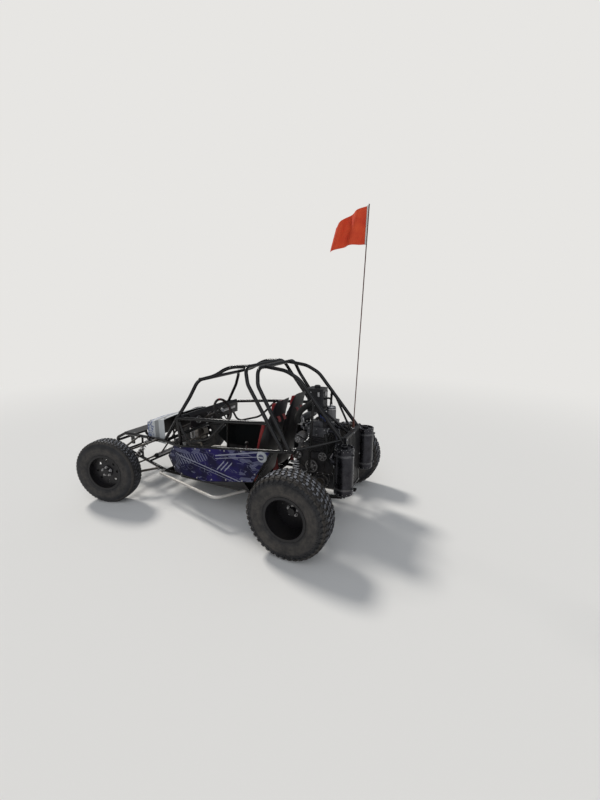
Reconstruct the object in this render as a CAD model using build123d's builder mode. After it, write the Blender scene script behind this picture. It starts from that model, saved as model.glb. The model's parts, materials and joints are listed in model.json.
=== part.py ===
from build123d import *
from math import cos, radians, sin
import os

os.makedirs("parts", exist_ok=True)

# Two-seat tubular sand buggy, millimetres. X points to the car's left, Y rearwards, Z up.
# The ground is z = 0 and the origin lies under the middle of the length.

# Wheels and tyres
wheelbase = 2360
rear_track = 1670
front_track = 1690
rear_tyre_r = 393.5
rear_tyre_w = 270
front_tyre_r = 370
front_tyre_w = 198
lug_count = 22
lug_h = 14
lug_gap = 16
lug_ring_at = 38
# Tyre walls: share of the height from lip to tread, share of the half width
wall_shape = [(0.3, 1), (0.68, 0.98), (0.91, 0.88), (1, 0.6)]
bead_rise = 1.5
bead_r = 190
lip_r = 208
rim_wall = 7
tyre_seat_gap = 0.3
rear_rim_w = 228
front_rim_w = 170
hub_r = 62
spindle_r = 22
spindle_gap = 0.6
spindle_depth = 58
spindle_end_gap = 2
hub_step = 12
window_count = 8
window_r = 17
window_ring_r = 122

# Steering, measured with the wheels turned to the left as parked
park_steer = 15.7
kingpin_in = 110
kingpin_half = front_track / 2 - kingpin_in
upper_ball_up = 505
lower_ball_up = 250
ball_gap = 0.5
steer_arm = 120
rack_up = 352
rack_back = 120 - wheelbase
rack_bar_r = 12
rack_bore_gap = 1
rack_half = 215
rack_bar_half = 340
rack_cross_half = 330
tie_rod_r = 10
pinion_across = 150
steer_eye_r = 19
rod_eye_r = 18
axle_boss_r = 34
axle_boss_gap = 4

# Silencers and reaches beyond the axles
silencer_half = 355
silencer_back = 330
silencer_r = 92
silencer_low_up = 440
silencer_high_up = 905
nose_reach = 590
rear_reach = silencer_back + silencer_r
rear_axle_y = (wheelbase + nose_reach - rear_reach) / 2

# Suspension
arm_r = 14
upper_arm_r = 12
rear_arm_r = 18
ball_boss_r = 24
ball_boss_h = 40
shock_r = 32
shock_rod_r = 11
shock_foot = 60
shock_head = 45
coil_count = 7
coil_root_r = 24
shock_eye_r = 19
shock_eye_half = 15
shock_in = 175
shock_bar_r = 12
shock_bar_share = 0.36
shock_clearance = 20
shock_post_r = 12
shock_post_end = 22
rear_shock_seat = (-20, -40)
rear_shock_shift = 8
rear_shock_drop = 21
front_shock_out = 25
front_shock_shift = 6
lower_pivot_backs = (330 - wheelbase, -120 - wheelbase)
upper_pivot_backs = (340 - wheelbase, -80 - wheelbase)
shock_top_back = 180 - wheelbase
rear_pivot_backs = (-490, -285)
bushing_r = 16
bushing_half = 22
boss_r = 45
cap_r = 34
disc_t = 9
rear_disc_at = -85
rear_boss_in = 104
rear_face_at = -30
front_disc_at = 22
front_boss_in = 52
front_face_at = 52
eye_half = 8
eye_gap = 2
rack_case_r = 26
carrier_half = rear_track / 2 - 180
carrier_r = 62
carrier_in = 45
carrier_out = 35
rear_arm_end = (-10, -45, -38)
shaft_r = 16
cup_r = 46
cup_l = 62

# Panels, seats and fittings
panel_gap = 0.3
panel_nose_back = 575 - wheelbase
panel_heel_back = 705 - wheelbase
panel_low_front_up = 335
panel_low_rear_up = 460
panel_rim = 30
filler_back = -440
filler_up = 752
filler_r = 44
filler_h = 12
filler_grip_r = 30
filler_grip_h = 6
pan_inset = 6
hood_front_back = 70 - wheelbase
hood_rear_up = 905
hood_front_up = 805
hood_low_up = 600
hood_crown = 18
hood_side_gap = 2
hood_front_drop = 20
hood_skirt = 60
deck_share = 0.74
deck_overlap = 8
dash_rear_back = 920 - wheelbase
dash_rear_up = 1040
dash_front_rise = 6
dash_lip = (18, 30)
dash_skirt = (12, 160)
dash_skin = (3, 5)
dash_inset = 24
seat_w = 380
seat_offset = 215
seat_front_back = -985
bolster_w = 50
bolster_lap = 10
pedal_places = (140, 225, 310)
pedal_back = 570 - wheelbase
pedal_rise = 190
pedal_lean = 30
pedal_r = 8
pedal_pad = (58, 14, 70)
pedal_base = (250, 60, 20)
wheel_hub = (220, 1210 - wheelbase, 1070)
column_slope = 25
column_length = 800
column_hanger_up = 866
wheel_r = 125
wheel_grip_r = 14
wheel_boss_r = 26
wheel_boss_ends = (5, 50)
spoke_r = 7
spoke_dish = 22
spoke_turns = (90, 210, 330)
column_r = 17
column_slot = 5
lower_shaft_r = 10
hanger_r = 12
engine_across = -15
engine_back = -60
engine_w = 430
engine_l = 400
engine_low_up = 522
barrel_low_up = 745
engine_high_up = 905
barrel_w = 400
barrel_l = 190
fin_count = 6
fin_t = 8
fin_reach = 14
head_w = 390
head_l = 210
head_back = -25
head_h = 100
cover_w = 360
cover_l = 120
cover_h = 60
port_up = 962
port_spacing = 90
port_places = [(port - 1.5) * port_spacing for port in range(4)]
gearbox_w = 250
gearbox_case_w = 190
gearbox_l = 340
gearbox_back = -10
gearbox_low_up = 320
gearbox_nose_r = 72
gearbox_bar_r = 12
gearbox_bar_back = -120
gearbox_bar_gap = 4
crank_chamfer = 25
pulley_gap = 8
pulley_hub_share = 0.45
pulley_w = 20
cover_r = 18
plenum_back = -215
plenum_rise = 48
plenum_half = 170
plenum_r = 40
runner_r = 18
runner_bend = 36
runner_lap = 10
breather_back = 62
breather_r = 46
breather_h = 178
breather_lap = 5
airbox_corner_r = 20
airbox_cap_r = 32
airbox_cap_h = 22
airbox_leg_back = -60
airbox_leg_r = 22
airbox_w = 150
airbox_l = 178
airbox_back = -95
airbox_low_up = 1130
airbox_high_up = 1372
airbox_lap = 10
whip_across = -100
whip_r = 5
whip_lean = 80
whip_spring_r = 13
whip_spring_l = 70
whip_top_up = 3080
flag_drop = 330
flag_reach = 350
flag_thick = 26
flag_top_gap = 12
flag_low_share = 0.62
flag_low_droop = 60
flag_top_droop = 120
eye_t = 14
eye_w = 62
eye_reach = 110
eye_lap = 26
eye_edge = 28
eye_corner_r = 12
eye_r = 13
guard_half = 238
guard_frame = 24
guard_t = 20
slat_count = 9
slat_w = 26
slat_t = 8

# Pulleys on the engine's left side: inset from its face, place behind the axle, height, radius
pulleys = [(30, -60, 600, 68), (90, -215, 700, 42), (30, 60, 720, 45)]

# Exhaust pipes and silencer lids
header_r = 17
header_reach = 70
header_rise = 25
merge_lap = (12, 14)
merge_half = 205
merge_back = 190
merge_up = 790
collector_r = 23
collector_bend_in = 22
collector_bend_drop = 55
collector_end_in = 30
collector_end_drop = 75
bracket_r = 9
bracket_low_rise = 70
bracket_high_drop = 95
lid_w = 14
lid_h = 10
outlet_r = 30
outlet_wall = 4
outlet_depth = 60

# Tube radii
main_r = 19
cross_r = 17
brace_r = 13
vee_r = 11
step_r = 15
joint_gap = 0.3
sheet = 4

# Stations, measured back from the rear axle, so forward is minus. Those of the front end are
# given from the front axle, less the wheelbase, and the cabin's tubes by shares between them.
cowl_back = 475 - wheelbase
pillar_back = 770 - wheelbase
pillar_mid_back = 935 - wheelbase
header_back = 1025 - wheelbase
hoop_top_back = -710
hoop_elbow_back = -640
roof_front_share = 0.344
roof_mid_share = 0.616
rail_mid_share = 0.621
hoop_foot_back = -215
hoop_pitch = 145
hoop_foot_pitch = 70
hoop_foot_rise = 15
hoop_elbow_share = 0.8
waist_front_run = 60
waist_end_run = 60
waist_end_rise = 5
door_bar_shares = (0.142, 0.484, 0.747)
door_bar_start = (-1.5, 20, -42)
door_bar_front_out = 12
door_bar_rear_in = 6
door_bar_end_rise = 10
kick_foot_back = -680
kick_top_back = -335
kick_top_out = 10
kick_top_drop = 18
tail_back = 270
stay_start_back = -330
stay_bend_back = -185
brace_top_back = -30
brace_foot_back = -90
vee_top_back = 8
vee_foot_half = 40
nose_bend_back = -120 - wheelbase
nose_brace_back = -60 - wheelbase
nose_brace_top_out = 40
nose_brace_foot_out = 62
nose_brace_foot_up = 316
nose_top_back = -430 - wheelbase
nose_low_back = -410 - wheelbase
floor_front_back = 460 - wheelbase

# Heights
floor_up = 270
cowl_up = 655
waist_front_up = 672
waist_rear_up = 835
door_bar_low_up = 725
door_bar_mid_up = 815
rail_front_up = 985
rail_mid_up = 1042
rail_rear_up = 1085
roof_up = 1595
roof_mid_up = roof_up - 15
roof_front_up = roof_up - 118
header_drop = 175
header_up = roof_up - header_drop
hoop_elbow_up = roof_up - 155
stay_start_up = roof_up - 30
stay_bend_up = roof_up - 105
pillar_bend_share = 0.575
pillar_mid_up = rail_front_up + (header_up - rail_front_up) * pillar_bend_share
nose_bend_up = 590
nose_top_up = 570
nose_tip_up = 460
nose_low_up = 350
nose_tip_run = 38
tail_up = 935
tail_mid_up = 640
cradle_up = 345

# Half widths
floor_half = 410
floor_front_half = 400
cowl_half = 400
waist_half = 520
rail_front_half = 470
rail_half = 525
pillar_mid_half = 428
header_half = 385
hoop_foot_half = 545
hoop_elbow_half = 470
hoop_top_half = 400
stay_half = 250
brace_foot_half = 255
brace_foot_drop = 6
tail_half = 262
nose_half = 225
nose_bend_half = 255
roof_corner_half = 360
roof_front_half = 365
roof_mid_half = 355
roof_end_half = 320
tip_half = 235

# Outlines seen from the side: place behind the rear axle, height
panel_outline = [(pillar_back - 50, 668), (panel_nose_back, 505), (panel_heel_back, 360),
                 (-1200, panel_low_front_up), (-560, panel_low_rear_up), (-342, 818)]
cushion_outline = [(-995, 430), (-955, 452), (-585, 418), (-440, 1130), (-415, 1245), (-375, 1262),
                   (-335, 1240), (-400, 900), (-490, 440)]
bolster_outline = [(-990, 490), (-700, 500), (-620, 560), (-520, 1010), (-470, 1080), (-400, 960),
                   (-470, 500)]
seat_foot_backs = (seat_front_back, -535)
bolster_foot_rise = 40

# Step bar on the left: distance from the middle plane, place behind the rear axle, height
step_places = [(410, 435 - wheelbase, 279), (512, 467 - wheelbase, 288), (752, -885, 300),
               (410, -730, 272)]


def at(across, back, up):
    """A point from its offset to the left, its distance behind the rear axle and its height."""
    return Vector(across, rear_axle_y + back, up)


def mirrored(points):
    """The same points on the car's right side."""
    return [Vector(-p.X, p.Y, p.Z) for p in points]


def hooped(points):
    """A left half route carried on over the middle to the right side."""
    return list(points) + mirrored(points)[::-1]


def tube(points, radius, bends=(), mode=Mode.ADD):
    """Round bar along straight runs, with one tangent bend radius for each corner."""
    with BuildLine(mode=Mode.PRIVATE) as route:
        if len(points) == 2:
            Line(*points)
        else:
            FilletPolyline(*points, radius=list(bends))
    start = Plane(origin=route.line @ 0, z_dir=route.line % 0)
    with BuildSketch(start, mode=Mode.PRIVATE) as section:
        Circle(radius)
    sweep(section.sketch, path=route.line, mode=mode)


def tubes(routes, grow=0, mode=Mode.ADD):
    """Every tube of a table whose columns are the points, the radius and the bend radii."""
    for points, radius, bends in routes:
        tube(points, radius + grow, bends, mode)


def both(routes):
    """The table's left tubes and their right twins."""
    return routes + [(mirrored(points), radius, bends) for points, radius, bends in routes]


def save(builder, name):
    """Labels a finished piece and writes its STEP file."""
    builder.part.label = name
    export_step(builder.part, "parts/" + name + ".step")


def save_pair(builder, name):
    """Writes a left piece and its right twin as one node of two solids."""
    with BuildPart() as pair:
        add(builder.part)
        mirror(builder.part, about=Plane.YZ)
    save(pair, name)


def cabin_at(share):
    """Station of the cabin, as a share of the way from the screen pillar to the hoop's elbow."""
    return pillar_back + (hoop_elbow_back - pillar_back) * share


def roof_at(share):
    """Station of the roof, as a share of the way from the screen header to the hoop."""
    return header_back + (hoop_top_back - header_back) * share


# Points where tubes meet
rail_front = at(rail_front_half, pillar_back, rail_front_up)
hoop_foot = at(hoop_foot_half, hoop_foot_back, waist_rear_up)
hoop_elbow = at(hoop_elbow_half, hoop_elbow_back, hoop_elbow_up)
hoop_corner = at(hoop_top_half, hoop_top_back, roof_up)
second_foot = hoop_foot + Vector(0, hoop_foot_pitch, hoop_foot_rise)
second_elbow = hoop_elbow + Vector(0, hoop_pitch * hoop_elbow_share, 0)
second_corner = hoop_corner + Vector(0, hoop_pitch, 0)
cowl_low = at(cowl_half, cowl_back, cowl_up)
waist_front = at(waist_half, pillar_back + waist_front_run, waist_front_up)
waist_end = second_foot + Vector(0, waist_end_run, waist_end_rise)
floor_front = at(floor_front_half, floor_front_back, floor_up)
floor_rear = at(floor_half, kick_foot_back, floor_up)
nose_low = at(nose_half, nose_low_back, nose_low_up)
tail_top = at(tail_half, tail_back, tail_up)
tail_low = at(tail_half, tail_back, cradle_up)


def on_line(start, end, up):
    """The point of a tube's axis at a given height."""
    return start + (end - start) * ((up - start.Z) / (end.Z - start.Z))


def rail_at(start, end, back):
    """The point of a rail's axis at a station behind the rear axle."""
    y = rear_axle_y + back
    return start + (end - start) * ((y - start.Y) / (end.Y - start.Y))


rail_rear = on_line(hoop_foot, hoop_elbow, rail_rear_up)

# Frame tubes, as left routes: points, radius, bend radii
floor_left = [
    ([nose_low, floor_front, floor_rear, tail_low], main_r, [300, 300]),
]
rack_cross_up = rack_up - rack_case_r - joint_gap - brace_r
floor_cross = [
    ([floor_front, mirrored([floor_front])[0]], main_r, []),
    ([floor_rear, mirrored([floor_rear])[0]], main_r, []),
    ([nose_low, mirrored([nose_low])[0]], main_r, []),
    ([tail_low, mirrored([tail_low])[0]], main_r, []),
    ([at(end, rack_back, rack_cross_up) for end in (rack_cross_half, -rack_cross_half)], brace_r, []),
]
floor_routes = both(floor_left) + floor_cross
hoop_route = [(hooped([hoop_foot, hoop_elbow, hoop_corner]), main_r, [150, 120, 120, 150])]
second_route = [(hooped([second_foot, second_elbow, second_corner]), main_r, [150, 120, 120, 150])]
pillar_mid = at(pillar_mid_half, pillar_mid_back, pillar_mid_up)
header_corner = at(header_half, header_back, header_up)
screen_route = [(hooped([rail_front, pillar_mid, header_corner]), main_r, [300, 85, 85, 300])]
side_left = [
    ([rail_front, at(rail_half, cabin_at(rail_mid_share), rail_mid_up), rail_rear], main_r, [2500]),
    ([rail_front, cowl_low], main_r, []),
    ([cowl_low, waist_front, hoop_foot, waist_end], main_r, [400, 200]),
    ([rail_front, on_line(rail_front, at(floor_half, pillar_back, floor_up), floor_up)], main_r, []),
    ([floor_rear, at(waist_half + kick_top_out, kick_top_back, waist_rear_up - kick_top_drop)], brace_r, []),
    ([rail_front + Vector(*door_bar_start),
      at(rail_front_half + door_bar_front_out, cabin_at(door_bar_shares[0]), door_bar_low_up),
      at(rail_half - door_bar_rear_in, cabin_at(door_bar_shares[1]), door_bar_mid_up),
      at(rail_half, cabin_at(door_bar_shares[2]), rail_mid_up + door_bar_end_rise)], brace_r, [90, 260]),
]
cross_routes = [
    ([rail_front, mirrored([rail_front])[0]], main_r, []),
    ([cowl_low, mirrored([cowl_low])[0]], main_r, []),
]
roof_left = [
    ([at(roof_corner_half, header_back, header_up),
      at(roof_front_half, roof_at(roof_front_share), roof_front_up),
      at(roof_mid_half, roof_at(roof_mid_share), roof_mid_up), at(roof_end_half, hoop_top_back, roof_up)],
     main_r, [500, 400]),
]
roof_routes = both(roof_left)
stay_bend = at(stay_half, stay_bend_back, stay_bend_up)
stay_left = [
    ([at(stay_half, hoop_top_back + hoop_pitch, roof_up), at(stay_half, stay_start_back, stay_start_up),
      stay_bend, tail_top, tail_low], main_r, [300, 250, 120]),
    ([rail_at(stay_bend, tail_top, brace_top_back),
      at(brace_foot_half, brace_foot_back, cradle_up - brace_foot_drop)], brace_r, []),
    ([second_foot, tail_top], brace_r, []),
    ([rail_at(stay_bend, tail_top, vee_top_back), at(vee_foot_half, tail_back, tail_up)], vee_r, []),
]
stay_cross = [
    ([tail_top, mirrored([tail_top])[0]], main_r, []),
    ([at(tail_half, tail_back, tail_mid_up), at(-tail_half, tail_back, tail_mid_up)], brace_r, []),
]
stay_routes = both(stay_left) + stay_cross
nose_top = at(nose_half, nose_top_back, nose_top_up)
nose_bend = at(nose_bend_half, nose_bend_back, nose_bend_up)
nose_tip = at(tip_half, -wheelbase - nose_reach + main_r, nose_tip_up)
tip_run = Vector(0, 0, nose_tip_run)
nose_left = [
    ([cowl_low, nose_bend, nose_top, nose_tip + tip_run, nose_tip - tip_run, nose_low], main_r,
     [600, 80, 45, 45]),
    ([at(nose_half + nose_brace_top_out, nose_brace_back, nose_bend_up),
      at(nose_half + nose_brace_foot_out, nose_brace_back, nose_brace_foot_up)], brace_r, []),
]
nose_routes = both(nose_left) + [
    ([nose_tip, mirrored([nose_tip])[0]], cross_r, []),
    ([nose_top, mirrored([nose_top])[0]], cross_r, []),
]
step_left = [
    ([at(*place) for place in step_places], step_r, [60, 90]),
]

# Frame, each piece coped around the ones before it
with BuildPart() as floor_frame:
    tubes(floor_routes)
with BuildPart() as hoops:
    tubes(hoop_route + second_route)
with BuildPart() as screen_frame:
    tubes(screen_route)
with BuildPart() as side_frame:
    tubes(side_left)
    tubes(floor_routes[:1] + hoop_route + second_route + screen_route, joint_gap, Mode.SUBTRACT)
with BuildPart() as cross_bars:
    tubes(cross_routes)
    tubes(both(side_left[:4]) + screen_route, joint_gap, Mode.SUBTRACT)
with BuildPart() as roof_rails:
    tubes(roof_routes)
    tubes(hoop_route + screen_route, joint_gap, Mode.SUBTRACT)
with BuildPart() as rear_cage:
    tubes(stay_routes)
    tubes(floor_routes + second_route + both(side_left[2:3]), joint_gap, Mode.SUBTRACT)
with BuildPart() as nose_frame:
    tubes(nose_routes)
    tubes(floor_routes + both(side_left[:3]) + cross_routes, joint_gap, Mode.SUBTRACT)
with BuildPart() as step_bars:
    tubes(both(step_left))
    tubes(floor_routes, joint_gap, Mode.SUBTRACT)

for name, piece in {
    "floor_frame": floor_frame, "hoops": hoops, "screen_frame": screen_frame, "cross_bars": cross_bars,
    "roof_rails": roof_rails, "rear_cage": rear_cage, "nose_frame": nose_frame, "step_bars": step_bars,
}.items():
    save(piece, name)
save_pair(side_frame, "side_frames")


def revolved(points, plane, mode=Mode.ADD):
    """Ring or wheel from a closed half section, whose columns are radius and place along the axis."""
    with BuildSketch(plane, mode=Mode.PRIVATE) as section:
        with BuildLine():
            Polyline(*points, close=True)
        make_face()
    revolve(section.sketch, axis=Axis(plane.origin, plane.y_dir), mode=mode)


def wheel_plane(centre, out):
    """Section plane of a wheel: local X is up and local Y runs outwards along the axle."""
    return Plane(origin=centre, x_dir=Vector(0, 0, 1), z_dir=Vector(0, 0, 1).cross(out))


def tyre_section(radius, width, rim_w):
    """Half section of a tyre: beads inside the lips, bulged walls, shoulders and tread."""
    half = width / 2
    bead_half = rim_w / 2 - rim_wall - tyre_seat_gap
    bead = bead_r + tyre_seat_gap
    wall = radius - lip_r
    foot = lip_r + bead_rise
    right = [(bead, bead_half), (foot, bead_half), (foot, rim_w / 2)]
    right += [(lip_r + wall * rise, half * spread) for rise, spread in wall_shape]
    return right + [(r, -t) for r, t in right[::-1]]


def cut_tread(plane, radius, width):
    """Round grooves and staggered cross grooves that part the tread into blocks."""
    floor = radius - lug_h
    for centre in (-lug_ring_at, lug_ring_at):
        revolved([(floor, centre - lug_gap / 2), (radius + 1, centre - lug_gap / 2),
                  (radius + 1, centre + lug_gap / 2), (floor, centre + lug_gap / 2)], plane, Mode.SUBTRACT)
    rows = [(-width, -lug_ring_at, 0), (-lug_ring_at, lug_ring_at, 0.5), (lug_ring_at, width, 0.25)]
    for low, high, phase in rows:
        face = Plane(origin=plane.origin + plane.y_dir * low, x_dir=plane.x_dir, z_dir=plane.y_dir)
        with BuildSketch(face, mode=Mode.PRIVATE) as gaps:
            with PolarLocations(floor + radius / 2, lug_count, start_angle=phase * 360 / lug_count):
                Rectangle(radius, lug_gap)
        extrude(gaps.sketch, amount=high - low, mode=Mode.SUBTRACT)


def rim_section(rim_w, disc_at, boss_in, face_at):
    """Half section of a rim: spindle bore, inner boss, disc, barrel with two lips, stepped hub."""
    half = rim_w / 2
    inner = bead_r - rim_wall
    bore = spindle_r + spindle_gap
    bore_end = spindle_depth - boss_in
    back = disc_at - disc_t
    return [(bore, -boss_in), (boss_r, -boss_in), (boss_r, back), (inner, back), (inner, -half),
            (lip_r, -half), (lip_r, -half + rim_wall), (bead_r, -half + rim_wall),
            (bead_r, half - rim_wall), (lip_r, half - rim_wall), (lip_r, half), (inner, half),
            (inner, disc_at), (hub_r, disc_at), (hub_r, disc_at + hub_step), (cap_r, disc_at + hub_step),
            (cap_r, face_at), (0, face_at), (0, bore_end), (bore, bore_end)]


def rim_windows(plane, disc_at, count, radius, circle_r):
    """Round windows through the disc of a rim."""
    face = Plane(origin=plane.origin + plane.y_dir * disc_at, x_dir=plane.x_dir, z_dir=plane.y_dir)
    with BuildSketch(face, mode=Mode.PRIVATE) as windows:
        with PolarLocations(circle_r, count):
            Circle(radius)
    extrude(windows.sketch, amount=disc_t * 3, both=True, mode=Mode.SUBTRACT)


left_out = Vector(1, 0, 0)
steer_out = Vector(cos(radians(park_steer)), sin(radians(park_steer)), 0)
steer_back = Vector(-sin(radians(park_steer)), cos(radians(park_steer)), 0)
kingpins = {side: at(across, -wheelbase, front_tyre_r)
            for side, across in (("left", kingpin_half), ("right", -kingpin_half))}
front_planes = {
    "left": wheel_plane(kingpins["left"] + steer_out * kingpin_in, steer_out),
    "right": wheel_plane(kingpins["right"] - steer_out * kingpin_in, -steer_out),
}
rear_planes = {
    "left": wheel_plane(at(rear_track / 2, 0, rear_tyre_r), left_out),
    "right": wheel_plane(at(-rear_track / 2, 0, rear_tyre_r), -left_out),
}

# Wheels
for side in ("left", "right"):
    with BuildPart() as rear_tyre:
        revolved(tyre_section(rear_tyre_r, rear_tyre_w, rear_rim_w), rear_planes[side])
        cut_tread(rear_planes[side], rear_tyre_r, rear_tyre_w)
    save(rear_tyre, "tyre_rear_" + side)
    with BuildPart() as rear_rim:
        revolved(rim_section(rear_rim_w, rear_disc_at, rear_boss_in, rear_face_at), rear_planes[side])
    save(rear_rim, "rim_rear_" + side)
    with BuildPart() as front_tyre:
        revolved(tyre_section(front_tyre_r, front_tyre_w, front_rim_w), front_planes[side])
    save(front_tyre, "tyre_front_" + side)
    with BuildPart() as front_rim:
        revolved(rim_section(front_rim_w, front_disc_at, front_boss_in, front_face_at), front_planes[side])
        rim_windows(front_planes[side], front_disc_at, window_count, window_r, window_ring_r)
    save(front_rim, "rim_front_" + side)


def pivot_beside(start, end, back):
    """Bushing centre square to a rail on its outer side, at a station behind the rear axle."""
    along = end - start
    out = Vector(abs(along.Y), -along.X if along.Y > 0 else along.X, 0).normalized()
    return rail_at(start, end, back) + out * (main_r + bushing_r + 2 * joint_gap)


# Front suspension of the left side
lower_rear, lower_front = [pivot_beside(nose_low, floor_front, back) for back in lower_pivot_backs]
upper_rear, upper_front = [pivot_beside(cowl_low, nose_bend, back) for back in upper_pivot_backs]
lower_ball = Vector(kingpins["left"].X, kingpins["left"].Y, lower_ball_up)
upper_ball = Vector(kingpins["left"].X, kingpins["left"].Y, upper_ball_up)
shock_x = kingpin_half - shock_in


def bushings(pivots):
    """Two pivot bushings on one line."""
    along = (pivots[1] - pivots[0]).normalized() * bushing_half
    for pivot in pivots:
        tube([pivot - along, pivot + along], bushing_r)


def a_arm(ball, rear_pivot, front_pivot, radius):
    """Wishbone: two legs, their bushings and the ball joint's boss."""
    for pivot in (rear_pivot, front_pivot):
        tube([ball, pivot], radius)
    bushings([rear_pivot, front_pivot])
    tube([ball - Vector(0, 0, ball_boss_h / 2), ball + Vector(0, 0, ball_boss_h / 2)], ball_boss_r)


def across_at(start, end, x):
    """The point of a leg's axis at a distance from the middle plane."""
    return start + (end - start) * ((x - start.X) / (end.X - start.X))


shock_seat_a = across_at(lower_ball, lower_rear, shock_x)
shock_seat_b = across_at(lower_ball, lower_front, shock_x)
shock_seat = shock_seat_b + (shock_seat_a - shock_seat_b) * shock_bar_share
front_shock_low = shock_seat + Vector(0, 0, arm_r + shock_clearance)
front_shock_rail = rail_at(cowl_low, nose_bend, shock_top_back)
front_shock_top = front_shock_rail + Vector(main_r + front_shock_out, front_shock_shift, front_shock_shift)


def shock(low, top):
    """Coil-over strut: rod, damper body, the spring's coils and an eye along the car at each end."""
    axis = (top - low).normalized()
    tube([low, top], shock_rod_r)
    across = Vector(0, 1, 0).cross(axis).normalized()
    seat = Plane(origin=low, x_dir=across, z_dir=across.cross(axis))
    start, end = shock_foot, (top - low).length - shock_head
    pitch = (end - start) / coil_count
    outline = [(0, start), (coil_root_r, start)]
    for coil in range(coil_count):
        foot = start + coil * pitch
        outline += [(shock_r, foot + pitch / 2), (coil_root_r, foot + pitch)]
    revolved(outline + [(0, end)], seat)
    for eye in (low, top):
        tube([eye - Vector(0, shock_eye_half, 0), eye + Vector(0, shock_eye_half, 0)], shock_eye_r)


with BuildPart() as lower_arm:
    a_arm(lower_ball, lower_rear, lower_front, arm_r)
    tube([shock_seat_a, shock_seat_b], shock_bar_r)
with BuildPart() as upper_arm:
    a_arm(upper_ball, upper_rear, upper_front, upper_arm_r)
with BuildPart() as front_shock:
    shock(front_shock_low, front_shock_top)
    tube([shock_seat_a, shock_seat_b], shock_bar_r + joint_gap, mode=Mode.SUBTRACT)

# Rear suspension of the left side
arm_pivots = [pivot_beside(floor_rear, tail_low, back) for back in rear_pivot_backs]
carrier = at(carrier_half, 0, rear_tyre_r)
post_foot = carrier + Vector(*rear_shock_seat, 0)
rear_shock_low = post_foot + Vector(0, 0, carrier_r + shock_clearance)
post_top = rear_shock_low - Vector(0, 0, shock_post_end)
rear_shock_top = waist_end + Vector(0, rear_shock_shift, -main_r - rear_shock_drop)
spindle_reach = rear_track / 2 - carrier_half - rear_boss_in + spindle_depth - spindle_end_gap
with BuildPart() as rear_arm:
    for pivot in arm_pivots:
        tube([carrier + Vector(*rear_arm_end), pivot], rear_arm_r)
    bushings(arm_pivots)
    tube([carrier - Vector(carrier_in, 0, 0), carrier + Vector(carrier_out, 0, 0)], carrier_r)
    tube([carrier, carrier + Vector(spindle_reach, 0, 0)], spindle_r)
    tube([post_foot, post_top], shock_post_r)
with BuildPart() as rear_shock:
    shock(rear_shock_low, rear_shock_top)
    tube([post_foot, post_top], shock_post_r + joint_gap, mode=Mode.SUBTRACT)
shaft_ends = (gearbox_w / 2 + joint_gap, carrier_half - carrier_in - joint_gap)
with BuildPart() as half_shaft:
    axle_line = [at(x, 0, rear_tyre_r) for x in shaft_ends]
    tube(axle_line, shaft_r)
    tube([axle_line[0], axle_line[0] + Vector(cup_l, 0, 0)], cup_r)
    tube([axle_line[1] - Vector(cup_l, 0, 0), axle_line[1]], cup_r)

for name, piece in {
    "lower_arms": lower_arm, "upper_arms": upper_arm, "front_shocks": front_shock,
    "rear_arms": rear_arm, "rear_shocks": rear_shock, "half_shafts": half_shaft,
}.items():
    save_pair(piece, name)

# Steered knuckles, tie rods and rack
post_ends = (lower_ball_up + ball_boss_h / 2 + ball_gap, upper_ball_up - ball_boss_h / 2 - ball_gap)
steer_arm_up = rack_up - 2 * eye_half - eye_gap
for side, out in (("left", steer_out), ("right", -steer_out)):
    pin = kingpins[side]
    arm_end = Vector(pin.X, pin.Y, steer_arm_up) + steer_back * steer_arm
    with BuildPart() as knuckle:
        tube([Vector(pin.X, pin.Y, z) for z in post_ends], ball_boss_r)
        tube([pin, pin + out * (kingpin_in - front_boss_in - axle_boss_gap)], axle_boss_r)
        tube([pin, pin + out * (kingpin_in - front_boss_in + spindle_depth - spindle_end_gap)], spindle_r)
        tube([Vector(pin.X, pin.Y, steer_arm_up), arm_end], eye_half)
        tube([arm_end - Vector(0, 0, eye_half), arm_end + Vector(0, 0, eye_half)], steer_eye_r)
    save(knuckle, "knuckle_" + side)

rack_shift = -steer_arm * sin(radians(park_steer))
eyes = [Vector(pin.X, pin.Y, rack_up) + steer_back * steer_arm for pin in kingpins.values()]
bar_ends = [at(rack_shift + end, rack_back, rack_up) for end in (rack_bar_half, -rack_bar_half)]
with BuildPart() as tie_rods:
    tube(bar_ends, rack_bar_r)
    for bar_end, eye in zip(bar_ends, eyes):
        tube([bar_end, eye], tie_rod_r)
        tube([eye - Vector(0, 0, eye_half), eye + Vector(0, 0, eye_half)], rod_eye_r)
save(tie_rods, "tie_rods")

with BuildPart() as rack_housing:
    tube([at(-rack_half, rack_back, rack_up), at(rack_half, rack_back, rack_up)], rack_case_r)
    tube([at(-rack_half, rack_back, rack_up), at(rack_half, rack_back, rack_up)], rack_bar_r + rack_bore_gap,
         mode=Mode.SUBTRACT)
save(rack_housing, "rack_housing")


# Panels
def beside(points, distance):
    """A plan line moved to the car's left by a distance, with mitred corners."""
    normals = [Vector(b.Y - a.Y, a.X - b.X, 0).normalized() for a, b in zip(points, points[1:])]
    moved = []
    for point, before, after in zip(points, normals[:1] + normals, normals + normals[-1:]):
        mitre = (before + after).normalized()
        moved.append(Vector(point.X, point.Y, 0) + mitre * (distance / mitre.dot(before)))
    return moved


def plan_band(points, clearance, thickness, low, high):
    """Upright sheet that follows a plan line on its left, a clearance away from it."""
    faces = beside(points, clearance) + beside(points, clearance + thickness)[::-1]
    with BuildSketch(Plane.XY.offset(low), mode=Mode.PRIVATE) as band:
        with BuildLine():
            Polyline(*[(p.X, p.Y) for p in faces], close=True)
        make_face()
    extrude(band.sketch, amount=high - low)


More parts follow.
